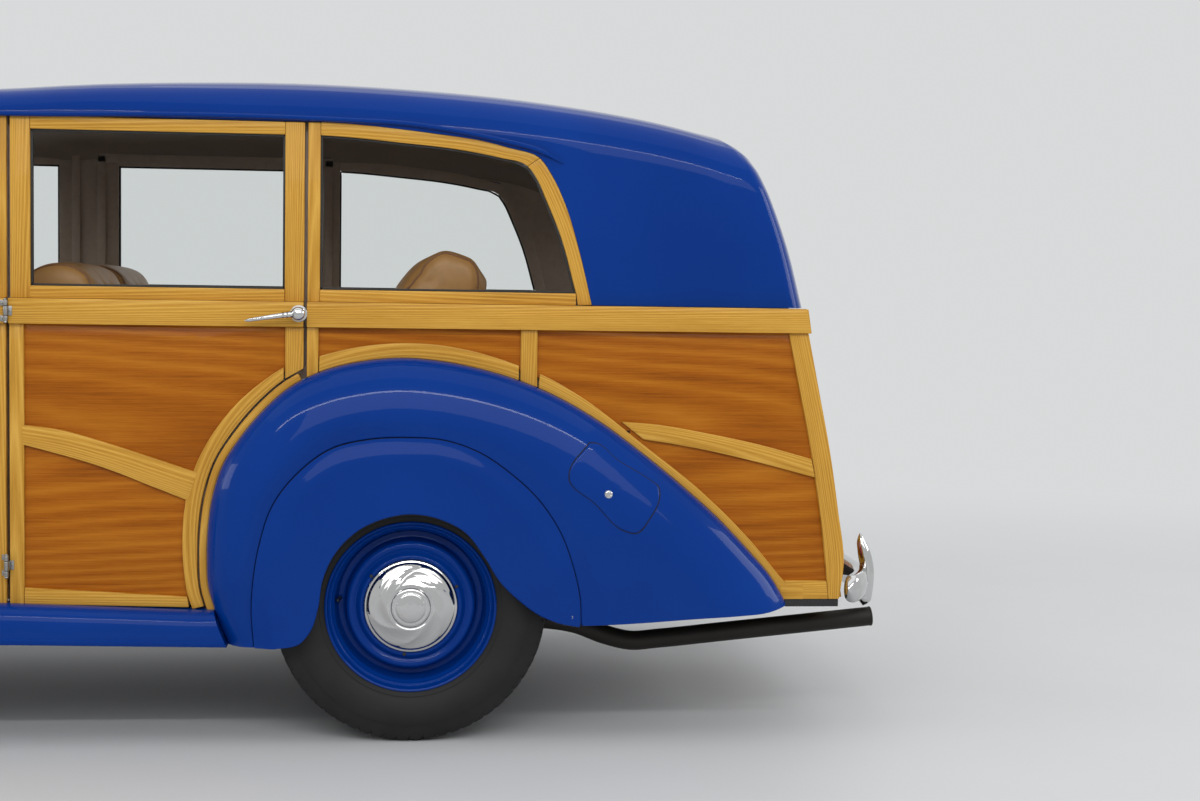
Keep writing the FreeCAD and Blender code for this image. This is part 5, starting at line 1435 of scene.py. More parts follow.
def exhaustPipe():
    # a bent pipe, open at the tail, with its silencer under the floor
    e = tailPipe
    line = smoothed([(axleX + x, e["across"], z) for x, z in e["line"]], 150)
    form, r = Shape(), e["radius"]
    form.sweep(line, roundSection(r, 36), capped=False)
    tip, along = Vector(line[-1]), (Vector(line[-1]) - Vector(line[-4])).normalized()
    lip = [(r, -0.001), (r * 1.03, 0.001), (r * 1.03, 0.003), (r, 0.0045), (r * 0.93, 0.0045), (r * 0.9, 0.002)]
    form.turned([*lip, (r * 0.9, -0.12), (0, -0.121)], tip, along, 40)
    x0, x1, big = e["silencer"]
    long = x1 - x0
    half = [(0, -0.015), (r * 1.12, -0.015), (r * 1.12, 0.03), (big * 0.8, 0.044), (big * 0.97, 0.056)]
    half += [(big * 1.03, 0.06), (big * 1.03, 0.07), (big, 0.074)]
    drum = half + [(q, long - d) for q, d in half[::-1]]
    form.turned(drum, (axleX + x0, e["across"], below(np.array(e["line"]), (x0 + x1) / 2)), (1, 0, -0.05), 48)
    form.piece("exhaustPipe", "pipe", "body", "exhaust_steel", sharp=40, replaces=("exhaust",))


runningBoards()
bumperBar("rearBumper", "rear_bumper", 1)
bumperBar("frontBumper", "front_bumper", -1)
exhaustPipe()
print("running boards and bumpers built")


# the tail: posts, apron, drop gate and the gate's fittings
tail = {
    "foot": 0.367, "face": 1.154, "lean": 0.122 / 0.773, "thick": 0.045, "gateLow": 0.568, "gateHigh": 1.132,
    "gateHalf": 0.722, "half": 0.7275, "apronTop": 0.56, "belt": 1.075, "proud": 0.012, "back": -0.032,
    "postHalf": 0.7435, "postTop": 1.139, "shoulder": (0.744, 0.789), "hinge": (1.1308, 0.52, 0.5653),
    "handle": 1.103, "grip": 0.062, "lamp": (0.64, 0.47), "plate": (0.262, 0.64, 0.752), "rim": 0.006,
    # cross rails: from and to, and the heights there
    "bows": ((-0.668, -0.272, 0.76, 0.812), (0.272, 0.668, 0.812, 0.76), (-0.228, 0.228, 0.812, 0.812)),
    "bowHalf": 0.022, "sag": 0.016,
}


def onTail(across, z, out):
    # a spot on the leaning tail; out is measured from its face
    return axleX + tail["face"] - (z - tail["foot"]) * tail["lean"] + out, across, z


def tailAxes():
    # up along the tail, and straight out of it
    slope = math.atan(tail["lean"])
    return (-math.sin(slope), 0, math.cos(slope)), (math.cos(slope), 0, math.sin(slope))


def tailPanel(ash, panels, trim, half, low, high, stiles, rails, pads):
    # a frame with inset panels: stiles and rails give their middles and widths
    out, back = 0.0, tail["back"]
    for y, width in stiles:
        upright(ash, onTail, y - width / 2, y + width / 2, low, high, out, back)
    for z, width, proud in rails:
        level(ash, onTail, -half, half, z - width / 2, z + width / 2, out + proud, back)
    for y0, y1, z0, z1 in pads:
        level(panels, onTail, y0, y1, z0, z1, -0.011, back)
    level(trim, onTail, -half, half, low, high, back, -tail["thick"])


def makeTail():
    t = tail
    posts = Shape()
    for sign in (-1, 1):
        inner, outer = (sign * y for y in t["shoulder"])
        upright(posts, onTail, sign * t["half"], sign * t["postHalf"], t["foot"], t["postTop"], -0.001, -0.075)
        upright(posts, onTail, inner, outer, t["belt"] + 0.0005, t["postTop"], 0.004, -0.03)
    posts.piece("tailPosts", "ash", "body", "wood", 0.002)
    # the apron below the gate
    ash, panels, trim = Shape(), Shape(), Shape()
    half, w = t["half"] - 0.001, 0.05
    stiles = [(sign * (half - w / 2), w) for sign in (-1, 1)]
    rails = [(t["foot"] + 0.024, 0.048, 0.0006), (t["apronTop"] - 0.022, 0.044, 0.0006)]
    pads = [(-0.69, 0.69, t["foot"] + 0.03, t["apronTop"] - 0.03)]
    tailPanel(ash, panels, trim, half, t["foot"], t["apronTop"], stiles, rails, pads)
    ash.piece("apronAsh", "ash", "body", "wood", 0.003, replaces=("tail_apron",))
    panels.piece("apronPanel", "mahogany", "body", "wood", 0.001)
    trim.piece("apronLining", "trim", "body", "leather", 0.0015)
    # the gate
    ash, panels, trim = Shape(), Shape(), Shape()
    half, low, high = t["gateHalf"], t["gateLow"], t["gateHigh"]
    stiles = [(sign * (half - 0.027), 0.054) for sign in (-1, 1)] + [(-0.25, 0.044), (0.25, 0.044)]
    rails = [(low + 0.026, 0.052, 0.0006), (t["belt"] + (high - t["belt"]) / 2, high - t["belt"], t["proud"])]
    pads = [(-0.7, -0.24, low + 0.03, 1.085), (-0.26, 0.26, low + 0.03, 1.085), (0.24, 0.7, low + 0.03, 1.085)]
    tailPanel(ash, panels, trim, half, low, high, stiles, rails, pads)
    # bowed cross rails, as on the sides
    for y0, y1, z0, z1 in t["bows"]:
        run = np.linspace(0, 1, 16)
        ys, zs = y0 + (y1 - y0) * run, z0 + (z1 - z0) * run + t["sag"] * np.sin(run * math.pi)
        ash.board(over(ys, zs - t["bowHalf"]), over(ys, zs + t["bowHalf"]), onTail, 0.0008, t["back"])
    ash.piece("gateAsh", "ash", "drop_gate", "wood", 0.003, replaces=("drop_gate",))
    panels.piece("gatePanels", "mahogany", "drop_gate", "wood", 0.001)
    trim.piece("gateLining", "trim", "drop_gate", "leather", 0.0015)
    (up, out), (x, y, z) = tailAxes(), t["hinge"]
    for label, sign in sides:
        at = (axleX + x, sign * y, z)
        strapHinge(f"gateHinge_{label}", "drop_gate", at, (0, 1, 0), up, out, 0.008, 0.03)


def tailFittings():
    # gate handle, a lamp over a bare plate, and tail lamps
    t, (_, out) = tail, tailAxes()
    grip = Shape()
    origin, face = Vector(onTail(0, t["handle"], t["proud"])), Vector(out)
    boss = [(0, -0.002), (0.022, -0.002), (0.022, 0.001), (0.017, 0.005), (0.01, 0.008), (0.009, 0.026), (0, 0.028)]
    grip.turned(boss, origin, face, 40)
    ys = np.linspace(-t["grip"], t["grip"], 21)
    bar = [origin + face * 0.03 + Vector((0, y, -0.004 * (y / 0.06) ** 2)) for y in ys]
    taper = lambda y: max(0.02, math.sqrt(max(0, 1 - (y / 0.0622) ** 6))) * (1 - 0.25 * y / t["grip"])
    grip.sweep(bar, roundSection(0.0085, 20, 0.0075 / 0.0085), up=out, scales=[taper(abs(y)) for y in ys])
    grip.piece("gateHandle", "chrome", "drop_gate", "chrome")
    plate = Shape()
    half, low, high = t["plate"]
    level(plate, onTail, -half, half, low, high, 0.012, 0.004)
    plate.piece("barePlate", "black", "drop_gate", "black_plastic", 0.004)
    surround, centre = Shape(), np.array((0, (low + high) / 2))
    half, low, high = half + t["rim"], low - t["rim"], high + t["rim"]
    corners = np.array([(-half, low), (half, low), (half, high), (-half, high)])
    for a, b in zip(corners, np.roll(corners, -1, axis=0)):
        surround.board([a, b], [a + (centre - a) * 0.03, b + (centre - b) * 0.03], onTail, 0.014, 0.0035)
    surround.board([(-0.05, 0.762), (0.05, 0.762)], [(-0.044, 0.795), (0.044, 0.795)], onTail, 0.04, 0.0)
    surround.piece("plateFrame", "chrome", "drop_gate", "chrome", 0.002)
    cup = [(0, -0.004), (0.041, -0.004), (0.044, 0.004), (0.044, 0.02), (0.042, 0.026), (0.038, 0.028)]
    dome = [(0.0362, 0.02), (0.0355, 0.028), (0.03, 0.034), (0.02, 0.0375), (0.01, 0.039), (0, 0.0395)]
    for label, sign in sides:
        case, lens = Shape(), Shape()
        spot = onTail(sign * t["lamp"][0], t["lamp"][1], 0.0)
        case.turned([*cup, (0.036, 0.024), (0, 0.022)], spot, out, 56)
        lens.turned(dome, spot, out, 56)
        case.piece(f"tailLampCase_{label}", "chrome", "body", "chrome")
        lens.piece(f"tailLampLens_{label}", "red", "body", "black_plastic", solid=0.001)


makeTail()
tailFittings()
print("tail built")


# front doors: as the rear ones, turned in towards the nose
frontDoor = {
    "turn": doorTurn, "front": -0.8138, "back": -0.004, "originX": -1.104, "stile": 0.04,
    "midRail": (
        ((-0.775, 0.856), (-0.6, 0.859), (-0.4, 0.852), (-0.2, 0.836), (-0.04, 0.818)),
        ((-0.775, 0.807), (-0.6, 0.809), (-0.4, 0.802), (-0.2, 0.786), (-0.04, 0.768)),
    ),
}


def onFrontDoor(sign):
    # x runs back from the door's hinge side to its rear edge at nothing
    turn = math.radians(frontDoor["turn"]) * sign

    def spot(x, z, out):
        y = sign * (out - side["inner"])
        return (
            axleX + frontDoor["originX"] + x * math.cos(turn) - y * math.sin(turn),
            sign * side["inner"] + x * math.sin(turn) + y * math.cos(turn),
            z,
        )

    return spot


def frontDoors():
    d, s = frontDoor, side
    front, back, foot, low, high = d["front"], d["back"], levels["doorFoot"], levels["beltLow"], levels["beltTop"]
    lean = lambda z: front + max(0.0, z - high) * math.tan(math.radians(screenRake))
    rail = lambda x: midway(d["midRail"], x)
    face, rear = s["frame"], s["lining"]
    a, b = front + d["stile"], back - d["stile"]
    for label, sign in sides:
        spot, body = onFrontDoor(sign), "front_door_" + label
        ash, panels, trim, seal = (Shape() for _ in range(4))
        upright(ash, spot, front, a, foot, low, face, rear)
        upright(ash, spot, b, back, foot, low, face, rear)
        level(ash, spot, a, b, foot, foot + 0.04, face, rear)
        upper, lower = (smoothed(line, 24) for line in d["midRail"])
        ash.board(lower, upper, spot, face + 0.0008, rear)
        level(ash, spot, front, back, low, high, s["belt"], rear)
        xs = np.linspace(a - lap, b + lap, 30)
        panels.board(over(xs, rail), over(xs, low + lap), spot, s["panel"], rear)
        panels.board(over(xs, foot + tuck), over(xs, rail), spot, s["panel"], rear)
        doorUpper(ash, trim, seal, spot, front, back, lean)
        level(trim, spot, front, back, foot, high, rear, s["inner"])
        joinery("frontDoor", label, body, (ash, panels, trim, seal), body)
        doorHandle(f"frontDoorHandle_{label}", spot, body, back - 0.035)
        turn = math.radians(d["turn"]) * sign
        out = (Vector(spot(0, 0, 1)) - Vector(spot(0, 0, 0))).normalized()
        doorHinges("frontHinge", label, spot, front, (math.cos(turn), math.sin(turn), 0), out, body)
        # two door pulls inside
        pull = Shape()
        for x in (-0.3, -0.56):
            bow = lambda a: spot(x + 0.055 * math.cos(a), 0.93, s["inner"] - 0.018 * math.sin(a) - 0.001)
            pull.sweep([Vector(bow(a)) for a in np.linspace(0, math.pi, 15)], roundSection(0.0045, 10))
        pull.piece(f"frontDoorPull_{label}", "chrome", body, "chrome")


frontDoors()
print("front doors built")


# the front: windscreen, bonnet louvres and brightwork, radiator, lamps, and plates by the wings
front = {
    "screenFoot": (-1.926, 1.14), "rake": screenRake, "screenHalf": 0.682, "screenTop": 1.607, "screenWall": 0.045,
    "wipers": (-0.22, 0.34), "lean": 0.18, "reach": 0.235, "blade": 0.125,
    "ridge": ((-3.108, 1.105), (-2.118, 1.16)),
    "bonnetHalf": (0.235, 0.6396), "bonnetCrown": (0.085, 0.06),  # at the nose and at the cowl
}


def onScreen(out):
    # a spot on the windscreen's plane: across, and up along its slope from the foot
    x0, z0 = front["screenFoot"]
    turn = math.radians(front["rake"])
    across, up = math.cos(turn), math.sin(turn)
    return lambda y, h, o: (axleX + x0 + h * up - (out + o) * across, y, z0 + h * across + (out + o) * up)


def makeScreen():
    f = front
    rake, turn = math.radians(f["rake"]), math.radians(doorTurn)
    high = (f["screenTop"] - f["screenFoot"][1]) / math.cos(rake)
    spot = onScreen(f["screenWall"])
    bright, seal, arms = Shape(), Shape(), Shape()
    top, inset = f["screenHalf"] + high * math.cos(rake) * math.tan(rake) * math.tan(turn), 0.05
    foot, head = f["screenHalf"] - inset, top - inset
    outline = np.array([(-foot, 0.03), (foot, 0.03), (head, high - inset), (-head, high - inset)])
    grow = lambda p, d: p + np.array((math.copysign(d, p[0]), math.copysign(d, p[1] - high / 2)))
    for a, b in zip(outline, np.roll(outline, -1, axis=0)):
        bright.board([grow(a, 0.014), grow(b, 0.014)], [grow(a, 0.0), grow(b, 0.0)], spot, 0.0035, -0.004)
        seal.board([grow(a, 0.001), grow(b, 0.001)], [grow(a, -0.008), grow(b, -0.008)], spot, -0.012, -0.03)
    bright.piece("screenTrim", "chrome", "body", "chrome", 0.0012)
    seal.piece("screenSeal", "gasket", "body", "black_plastic", 0.001)
    # two wipers on the foot of the frame
    out = (Vector(spot(0, 0, 1)) - Vector(spot(0, 0, 0))).normalized()
    boss = [(0, -0.002), (0.013, -0.002), (0.013, 0.003), (0.008, 0.008), (0.007, 0.018), (0, 0.019)]
    for y in f["wipers"]:
        arms.turned(boss, spot(y, 0.012, 0.002), out, 28)
        elbow, tip = Vector(spot(y - f["lean"], f["reach"], 0.016)), Vector(spot(y, 0.012, 0.016))
        arms.sweep([tip, (tip + elbow) / 2, elbow], rounded(0.0055, 0.0035, 0.001, 3), up=out)
        along = (elbow - tip).normalized()
        blade = along * f["blade"]
        arms.sweep([elbow - blade, elbow, elbow + blade], rounded(0.0045, 0.01, 0.001, 3), up=out)
    arms.piece("wipers", "steel", "body", "chrome", sharp=40)


def bonnetFall(x):
    # the bonnet's half width, crown height and crown fall at a place along it
    (x0, z0), (x1, z1) = front["ridge"]
    t = (x - x0) / (x1 - x0)
    half, crown = front["bonnetHalf"], front["bonnetCrown"]
    return half[0] + (half[1] - half[0]) * t, z0 + (z1 - z0) * t, crown[0] + (crown[1] - crown[0]) * t


def onBonnetSide(sign):
    # a spot on the flat side of the bonnet
    (nose, cowl), ((x0, _), (x1, _)) = front["bonnetHalf"], front["ridge"]
    turn = math.atan((cowl - nose) / (x1 - x0))

    def spot(x, z, out):
        half = bonnetFall(x)[0]
        return axleX + x - out * math.sin(turn), sign * (half + out * math.cos(turn)), z

    return spot


louvres = {"first": -2.96, "pitch": 0.0285, "count": 26, "low": 0.8, "tall": 0.115, "lift": 0.0085, "slot": 0.0016}
bead = {"x": -2.114, "foot": 0.762, "top": 1.16, "fall": 0.06, "gap": 0.0022, "radius": 0.003}
vent = {"x": -2.025, "long": 0.045, "wide": 0.115}


def bonnetSides():
    v = louvres
    for label, sign in sides:
        spot, body = onBonnetSide(sign), "bonnet_" + label
        vents, bright = Shape(), Shape()
        starts = [v["first"] + k * v["pitch"] for k in range(v["count"])]
        for x in starts:  # a row of pressed louvres
            rows = []
            for t in np.linspace(0, 1, 11):
                z = v["low"] + v["tall"] * t
                lift = v["lift"] * math.sqrt(max(0.0, 1 - (2 * t - 1) ** 4)) + 0.0003
                steps = (
                    (0, -0.0005), (0.004, lift * 0.45), (0.01, lift * 0.85), (0.016, lift), (0.0175, lift * 0.92)
                )
                rows.append([spot(x + d, z, out) for d, out in (*steps, (0.0175, -0.0005))])
            vents.grid(rows)
        vents.piece(f"bonnetLouvres_{label}", "paint", body, "paint", solid=0.0008, sharp=40)
        dark = Shape()
        for x in starts:
            low, high = v["low"] + 0.006, v["low"] + v["tall"] - 0.006
            level(dark, spot, x + 0.0177, x + 0.0177 + v["slot"], low, high, 0.0008, -0.0008)
        dark.piece(f"bonnetSlots_{label}", "gap", body, "black_plastic")
        # bright strip along the side, and catches under it
        height = lambda x: float(np.interp(x, (-3.1, -2.13), (0.945, 0.985)))
        line = [spot(x, height(x), 0.0005) for x in np.linspace(-3.098, -2.126, 24)]
        bright.sweep(line, rounded(0.011, 0.007, 0.003, 4))
        bow = lambda d: 0.004 + 0.018 * math.sin(math.pi * (d + 0.04) / 0.08)
        for x in (-2.92, -2.28):
            grip = [Vector(spot(x + d, 0.775, bow(d))) for d in np.linspace(-0.04, 0.04, 13)]
            bright.sweep(grip, roundSection(0.0048, 10))
        bright.piece(f"bonnetBright_{label}", "chrome", body, "chrome")


def bonnetTop():
    # bright hinge strip along the ridge
    half = front["bonnetHalf"][1]
    (x0, z0), (x1, z1) = front["ridge"]
    ridge = Shape()
    line = ((x0 + 0.004, z0), ((x0 + x1) / 2, (z0 + z1) / 2), (x1, z1))
    ridge.sweep([(axleX + x, 0, z + 0.0052) for x, z in line], roundSection(0.0014, 10))
    ridge.piece("ridgeStrip", "chrome", "body", "chrome")
    # bright edge round the cowl where the bonnet lands
    form, x, edge, fall = Shape(), axleX + bead["x"], half + bead["gap"], bead["fall"]
    arc = [(x, y, bead["top"] - fall * (y / edge) ** 2 + 0.0012) for y in np.linspace(-edge, edge, 41)]
    form.sweep(arc, roundSection(bead["radius"], 8))
    for _, sign in sides:
        line = [(x, sign * edge, z) for z in np.linspace(bead["foot"], bead["top"] - fall, 12)]
        form.sweep(line, roundSection(bead["radius"], 8), up=(1, 0, 0))
    form.piece("cowlBead", "chrome", "body", "chrome")
    # ventilator lid on the scuttle
    lid = Shape()
    rows = []
    for grow, lift in ((1.0, 0.0), (0.99, 0.004), (0.95, 0.0065), (0.7, 0.0075), (0.35, 0.008), (0.02, 0.008)):
        ring = []
        for a in turns(48):
            x = vent["x"] + powered(math.cos(a), 0.4) * vent["long"] * grow
            y = powered(math.sin(a), 0.4) * vent["wide"] * grow
            t = (x + 2.113) / 0.187  # from the bonnet's edge to the windscreen
            wide, top, drop = half + 0.057 * t, bead["top"] + 0.005 * t, bead["fall"] - 0.035 * t
            ring.append((axleX + x, y, top - drop * (y / wide) ** 2 + lift))
        rows.append(ring)
    lid.grid(rows, wrapAcross=True)
    lid.piece("scuttleVent", "paint", "body", "paint", sharp=35)


radiator = {"front": -3.216, "back": -3.116, "half": 0.235, "low": 0.5, "high": 1.105, "slats": 22}


def radiatorOutline(half, low, high, count=60):
    # a shell that narrows to its foot, with round shoulders
    upper = ((0, 0), (0.45, 0.004), (0.78, 0.02), (0.94, 0.055), (0.995, 0.12), (1, 0.25))
    lower = ((0.9, 0.12), (0.8, 0.03), (0.66, 0))
    right = [(half * y, high - z) for y, z in upper] + [(half * 0.97, (low + high) / 2)]
    line = smoothed(right + [(half * y, low + z) for y, z in lower], count)
    left = line[::-1] * np.array((-1, 1))
    return np.vstack([left[:-1], line])


def makeRadiator():
    r = radiator
    outer = radiatorOutline(r["half"] - 0.0005, r["low"], r["high"] - 0.0005)
    centre, nose = np.array((0.0, (r["low"] + r["high"]) / 2)), axleX + r["front"]
    shell, slats, core = Shape(), Shape(), Shape()
    arms = outer - centre
    lengths = np.linalg.norm(arms, axis=1)[:, None]
    depth = r["back"] - r["front"]
    rows = []
    for inset, x in (
        (0.004, depth), (0.0, depth - 0.01), (0.0, 0.03), (0.0015, 0.014), (0.006, 0.004),
        (0.014, 0.0), (0.028, 0.001), (0.036, 0.006), (0.038, 0.014), (0.038, 0.045),
    ):
        rows.append([(nose + x, y, z) for y, z in centre + arms * (1 - inset / lengths)])
    shell.grid(rows, wrapAcross=True)
    filler = [(0.02, -0.006), (0.03, -0.004), (0.031, 0.004), (0.024, 0.009), (0.014, 0.013), (0.012, 0.022)]
    filler += [(0.018, 0.026), (0.019, 0.034), (0.012, 0.039), (0, 0.04)]
    shell.turned(filler, (nose + 0.05, 0, r["high"] - 0.004), (0, 0, 1), 40)
    shell.piece("radiatorShell", "chrome", "body", "chrome", sharp=40, solid=0.0015, replaces=("radiator",))
    right = outer[len(outer) // 2 :][:24]
    for y in np.linspace(-0.19, 0.19, r["slats"]):
        high = float(np.interp(abs(y), right[:, 0], right[:, 1])) - 0.036
        low = r["low"] + 0.034 + max(0.0, abs(y) - 0.125) * 3.0
        ring = ((0.012, -0.0028), (0.008, 0), (0.012, 0.0028), (0.046, 0.0012), (0.046, -0.0012))
        slats.block(*([(nose + x, y + q, z) for x, q in ring] for z in (low, high)))
    slats.piece("radiatorSlats", "chrome", "body", "chrome", 0.0006)
    inner = [(y * 0.86, centre[1] + (z - centre[1]) * 0.93) for y, z in outer]
    n = len(inner)
    walls = [(k, (k + 1) % n, n + (k + 1) % n, n + k) for k in range(n)]
    points = [(x, y, z) for x in (nose + 0.05, axleX + r["back"] - 0.004) for y, z in inner]
    core.add(points, [tuple(range(n)), tuple(reversed(range(n, 2 * n))), *walls])
    core.piece("radiatorCore", "black", "body", "chassis_steel")


frontAxleX = -3.048  # from the rear axle
lampTurns = {
    "bowl": (
        (0, 0.118), (0.022, 0.115), (0.052, 0.1), (0.08, 0.074), (0.099, 0.04), (0.107, 0.008), (0.1085, -0.014),
        (0.113, -0.016), (0.1175, -0.022), (0.1175, -0.03), (0.114, -0.037), (0.1075, -0.0385), (0.1045, -0.034),
        (0.104, -0.026),
    ),
    "mirror": ((0.104, -0.026), (0.098, 0.004), (0.084, 0.036), (0.058, 0.064), (0.03, 0.078), (0, 0.082)),
    "bulb": ((0, 0.08), (0.012, 0.078), (0.014, 0.04), (0.01, 0.024), (0, 0.02)),
    "lens": ((0.1042, -0.028), (0.1035, -0.033), (0.08, -0.043), (0.05, -0.049), (0.02, -0.0515), (0, -0.052)),
    "side": (
        (0, 0.08), (0.01, 0.074), (0.02, 0.05), (0.025, 0.02), (0.026, 0.0), (0.0275, -0.002), (0.028, -0.008),
        (0.026, -0.011), (0.0235, -0.0105),
    ),
    "sideLens": ((0.024, -0.0085), (0.0215, -0.013), (0.014, -0.017), (0, -0.0185)),
}


def makeHeadlamps():
    for label, sign in sides:
        spot = Vector((axleX + frontAxleX - 0.33, sign * 0.4, 0.8))
        bowl, lens, inside, lamp, glow = (Shape() for _ in range(5))
        for shape, name, count in (
            (bowl, "bowl", 80), (inside, "mirror", 64), (inside, "bulb", 32), (lens, "lens", 64)
        ):
            shape.turned(lampTurns[name], spot, (1, 0, 0), count)
        # a stalk to the wing stay
        bends = ((0.03, 0, -0.1), (0.034, 0, -0.15), (0.05, sign * 0.012, -0.235))
        path = smoothed([spot + Vector(bend) for bend in bends], 14)
        waist = [1.0 - 0.35 * math.sin(math.pi * k / 13) for k in range(14)]
        bowl.sweep(path, roundSection(0.017, 16), scales=waist)
        bowl.piece(f"headlampShell_{label}", "chrome", "body", "chrome", sharp=40, replaces=("headlamps",))
        inside.piece(f"headlampBowl_{label}", "chrome", "body", "chrome")
        lens.piece(f"headlampLens_{label}", "glass", "body", "glass", solid=0.002)
        # side lamp on the crown of the wing
        crown = Vector((axleX + frontAxleX - 0.06, sign * 0.715, 0.895))
        lamp.turned(lampTurns["side"], crown + Vector((0, 0, 0.03)), (1, 0, 0), 40)
        stem = [crown + Vector((0.02, 0, z)) for z in (-0.012, 0.02)]
        lamp.sweep(stem, rounded(0.05, 0.012, 0.005, 4), up=(0, 1, 0))
        glow.turned(lampTurns["sideLens"], crown + Vector((0, 0, 0.03)), (1, 0, 0), 32)
        lamp.piece(f"sideLamp_{label}", "chrome", "body", "chrome", sharp=40)
        glow.piece(f"sideLampLens_{label}", "lamp", "body", "black_plastic", solid=0.001)


def cowlFeet():
    # the plate between the cowl's side and the wing's tail
    xs = np.linspace(-2.269, -2.124, 8)
    for label, sign in sides:
        spot = lambda x, z, out: (axleX + x, sign * (0.64 + 0.405 * (x + 2.109) + out), z)
        plate = Shape()
        plate.board(over(xs, 0.422 - 0.5 * (xs + 2.109)), over(xs, 0.506), spot, -0.001, -0.006)
        plate.piece(f"cowlFoot_{label}", "paint", "body", "paint", 0.001)


makeScreen()
bonnetSides()
bonnetTop()
makeRadiator()
makeHeadlamps()
cowlFeet()
print("front built")


# seats: leather cushions blown up by a cloth simulation, with piping and flutes
seatFloor = 0.515
seats = {
    "voxel": 0.01, "pressure": 4.0, "cap": 0.022, "frames": 20, "start": 0.007,
    # outlines are (x from the rear axle, height over the floor)
    "frontBase": (
        (-1.452, 0.15), (-1.462, 0.262), (-1.44, 0.308), (-1.33, 0.312), (-1.01, 0.276), (-0.985, 0.23),
        (-0.99, 0.15),
    ),
    "frontBack": (
        (-0.985, 0.19), (-1.02, 0.33), (-1.044, 0.56), (-1.046, 0.65), (-1.018, 0.708), (-0.965, 0.74),
        (-0.9, 0.742), (-0.856, 0.718), (-0.84, 0.66), (-0.866, 0.56), (-0.905, 0.26), (-0.93, 0.18),
    ),
    "rearBase": (
        (-0.452, 0.15), (-0.462, 0.272), (-0.44, 0.318), (-0.33, 0.322), (-0.06, 0.288), (-0.03, 0.24),
        (-0.03, 0.15),
    ),
    "rearBack": (
        (-0.018, 0.235), (-0.056, 0.36), (-0.054, 0.56), (-0.036, 0.65), (0.012, 0.722), (0.056, 0.776),
        (0.086, 0.792), (0.132, 0.782), (0.18, 0.758), (0.186, 0.735), (0.15, 0.56), (0.085, 0.24),
    ),
    "half": 0.588, "gap": 0.032,  # half the width, and half the gap between the front ones
    "pitch": 0.075, "flute": 0.0065, "plinth": 0.165,
}


def values(mesh, name):
    # one row of numbers for each of the mesh's points
    rows = np.zeros(len(mesh.vertices) * 3, np.float32)
    mesh.vertices.foreach_get(name, rows)
    return rows.reshape(-1, 3)


def place(mesh, points):
    mesh.vertices.foreach_set("co", points.astype(np.float32).ravel())
    mesh.update()


def puffed(mesh, cap):
    # the mesh after the cloth simulation, with no point moved further than cap
    scene, piece = bpy.context.scene, linked("puffing", mesh)
    before = values(mesh, "co")
    cloth = piece.modifiers.new("cloth", "CLOTH")
    cloth.settings.use_pressure = True
    cloth.settings.uniform_pressure_force = seats["pressure"]
    cloth.settings.effector_weights.gravity = 0
    cloth.point_cache.frame_end = seats["frames"]
    for frameNumber in range(1, seats["frames"] + 1):
        scene.frame_set(frameNumber)
    graph = bpy.context.evaluated_depsgraph_get()
    moved = values(piece.evaluated_get(graph).data, "co") - before
    scene.frame_set(1)
    far = np.linalg.norm(moved, axis=1)[:, None]
    moved *= np.minimum(1, cap / np.maximum(far, 1e-9))
    bpy.data.objects.remove(piece)
    return before + moved


def cushionMesh(name, outline, low, high):
    # a closed form with rounded edges, remeshed and puffed
    s = seats
    ring = smoothed([*outline, outline[0]], 65)[:-1]
    centre = ring.mean(axis=0)
    arm = ring - centre
    length = np.linalg.norm(arm, axis=1)[:, None]
    wide = high - low
    steps = ((0.0, 0.04), (0.004, 0.022), (0.014, 0.009), (0.034, 0.0), (0.3 * wide, -0.003), (0.5 * wide, -0.004))
    steps += tuple((wide - at, inset) for at, inset in steps[-2::-1])
    shape, rows = Shape(), []
    for at, inset in steps:
        section = centre + arm * (1 - (inset + s["start"]) / length)
        y = low + s["start"] + at * (wide - 2 * s["start"]) / wide
        rows.append([(axleX + x, y, seatFloor + z) for x, z in section])
    shape.tube(rows)
    mesh = bpy.data.meshes.new(name)
    mesh.from_pydata(shape.points, [], shape.faces)
    form = bmesh.new()
    form.from_mesh(mesh)
    bmesh.ops.recalc_face_normals(form, faces=form.faces)
    form.to_mesh(mesh)
    form.free()
    raw = linked(name + "Raw", mesh)
    remesh = raw.modifiers.new("remesh", "REMESH")
    remesh.mode, remesh.voxel_size, remesh.use_smooth_shade = "VOXEL", s["voxel"], True
    soften = raw.modifiers.new("soften", "SMOOTH")
    soften.factor, soften.iterations = 0.5, 6
    applyModifiers(raw)
    fine = raw.data
    points = puffed(fine, s["cap"])
    bpy.data.objects.remove(raw)
    return fine, points, centre


def fluted(mesh, points, facing, low, high, pitch, depth, edge):
    # sewn channels across the face that is sat on
    place(mesh, points)
    normals = values(mesh, "normal")
    face = eased((normals @ np.array(facing) - 0.35) / 0.4)
    y = points[:, 1]
    first, last = y - low - edge, high - edge - y
    inside = eased(first / 0.02) * eased(last / 0.02)
    span = high - low - 2 * edge
    share = (first / span * max(1, round(span / pitch))) % 1.0
    near = np.minimum(share, 1 - share) * pitch
    sink = depth * np.exp(-((near / 0.0075) ** 2)) * face * inside
    for far in (first, last):
        sink += 0.5 * depth * np.exp(-((far / 0.006) ** 2)) * face
    place(mesh, points - normals * sink[:, None])


def finishCushion(name, mesh, mirror=False):
    if mirror:
        mesh = mesh.copy()
        mesh.vertices.foreach_set("co", (values(mesh, "co") * np.array((1, -1, 1), np.float32)).ravel())
        mesh.flip_normals()
    mesh.name = name
    piece = linked(name, mesh)
    mesh.shade_smooth()
    mesh.materials.clear()
    mesh.materials.append(finishes["leather"])
    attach(piece, "body")
    return piece


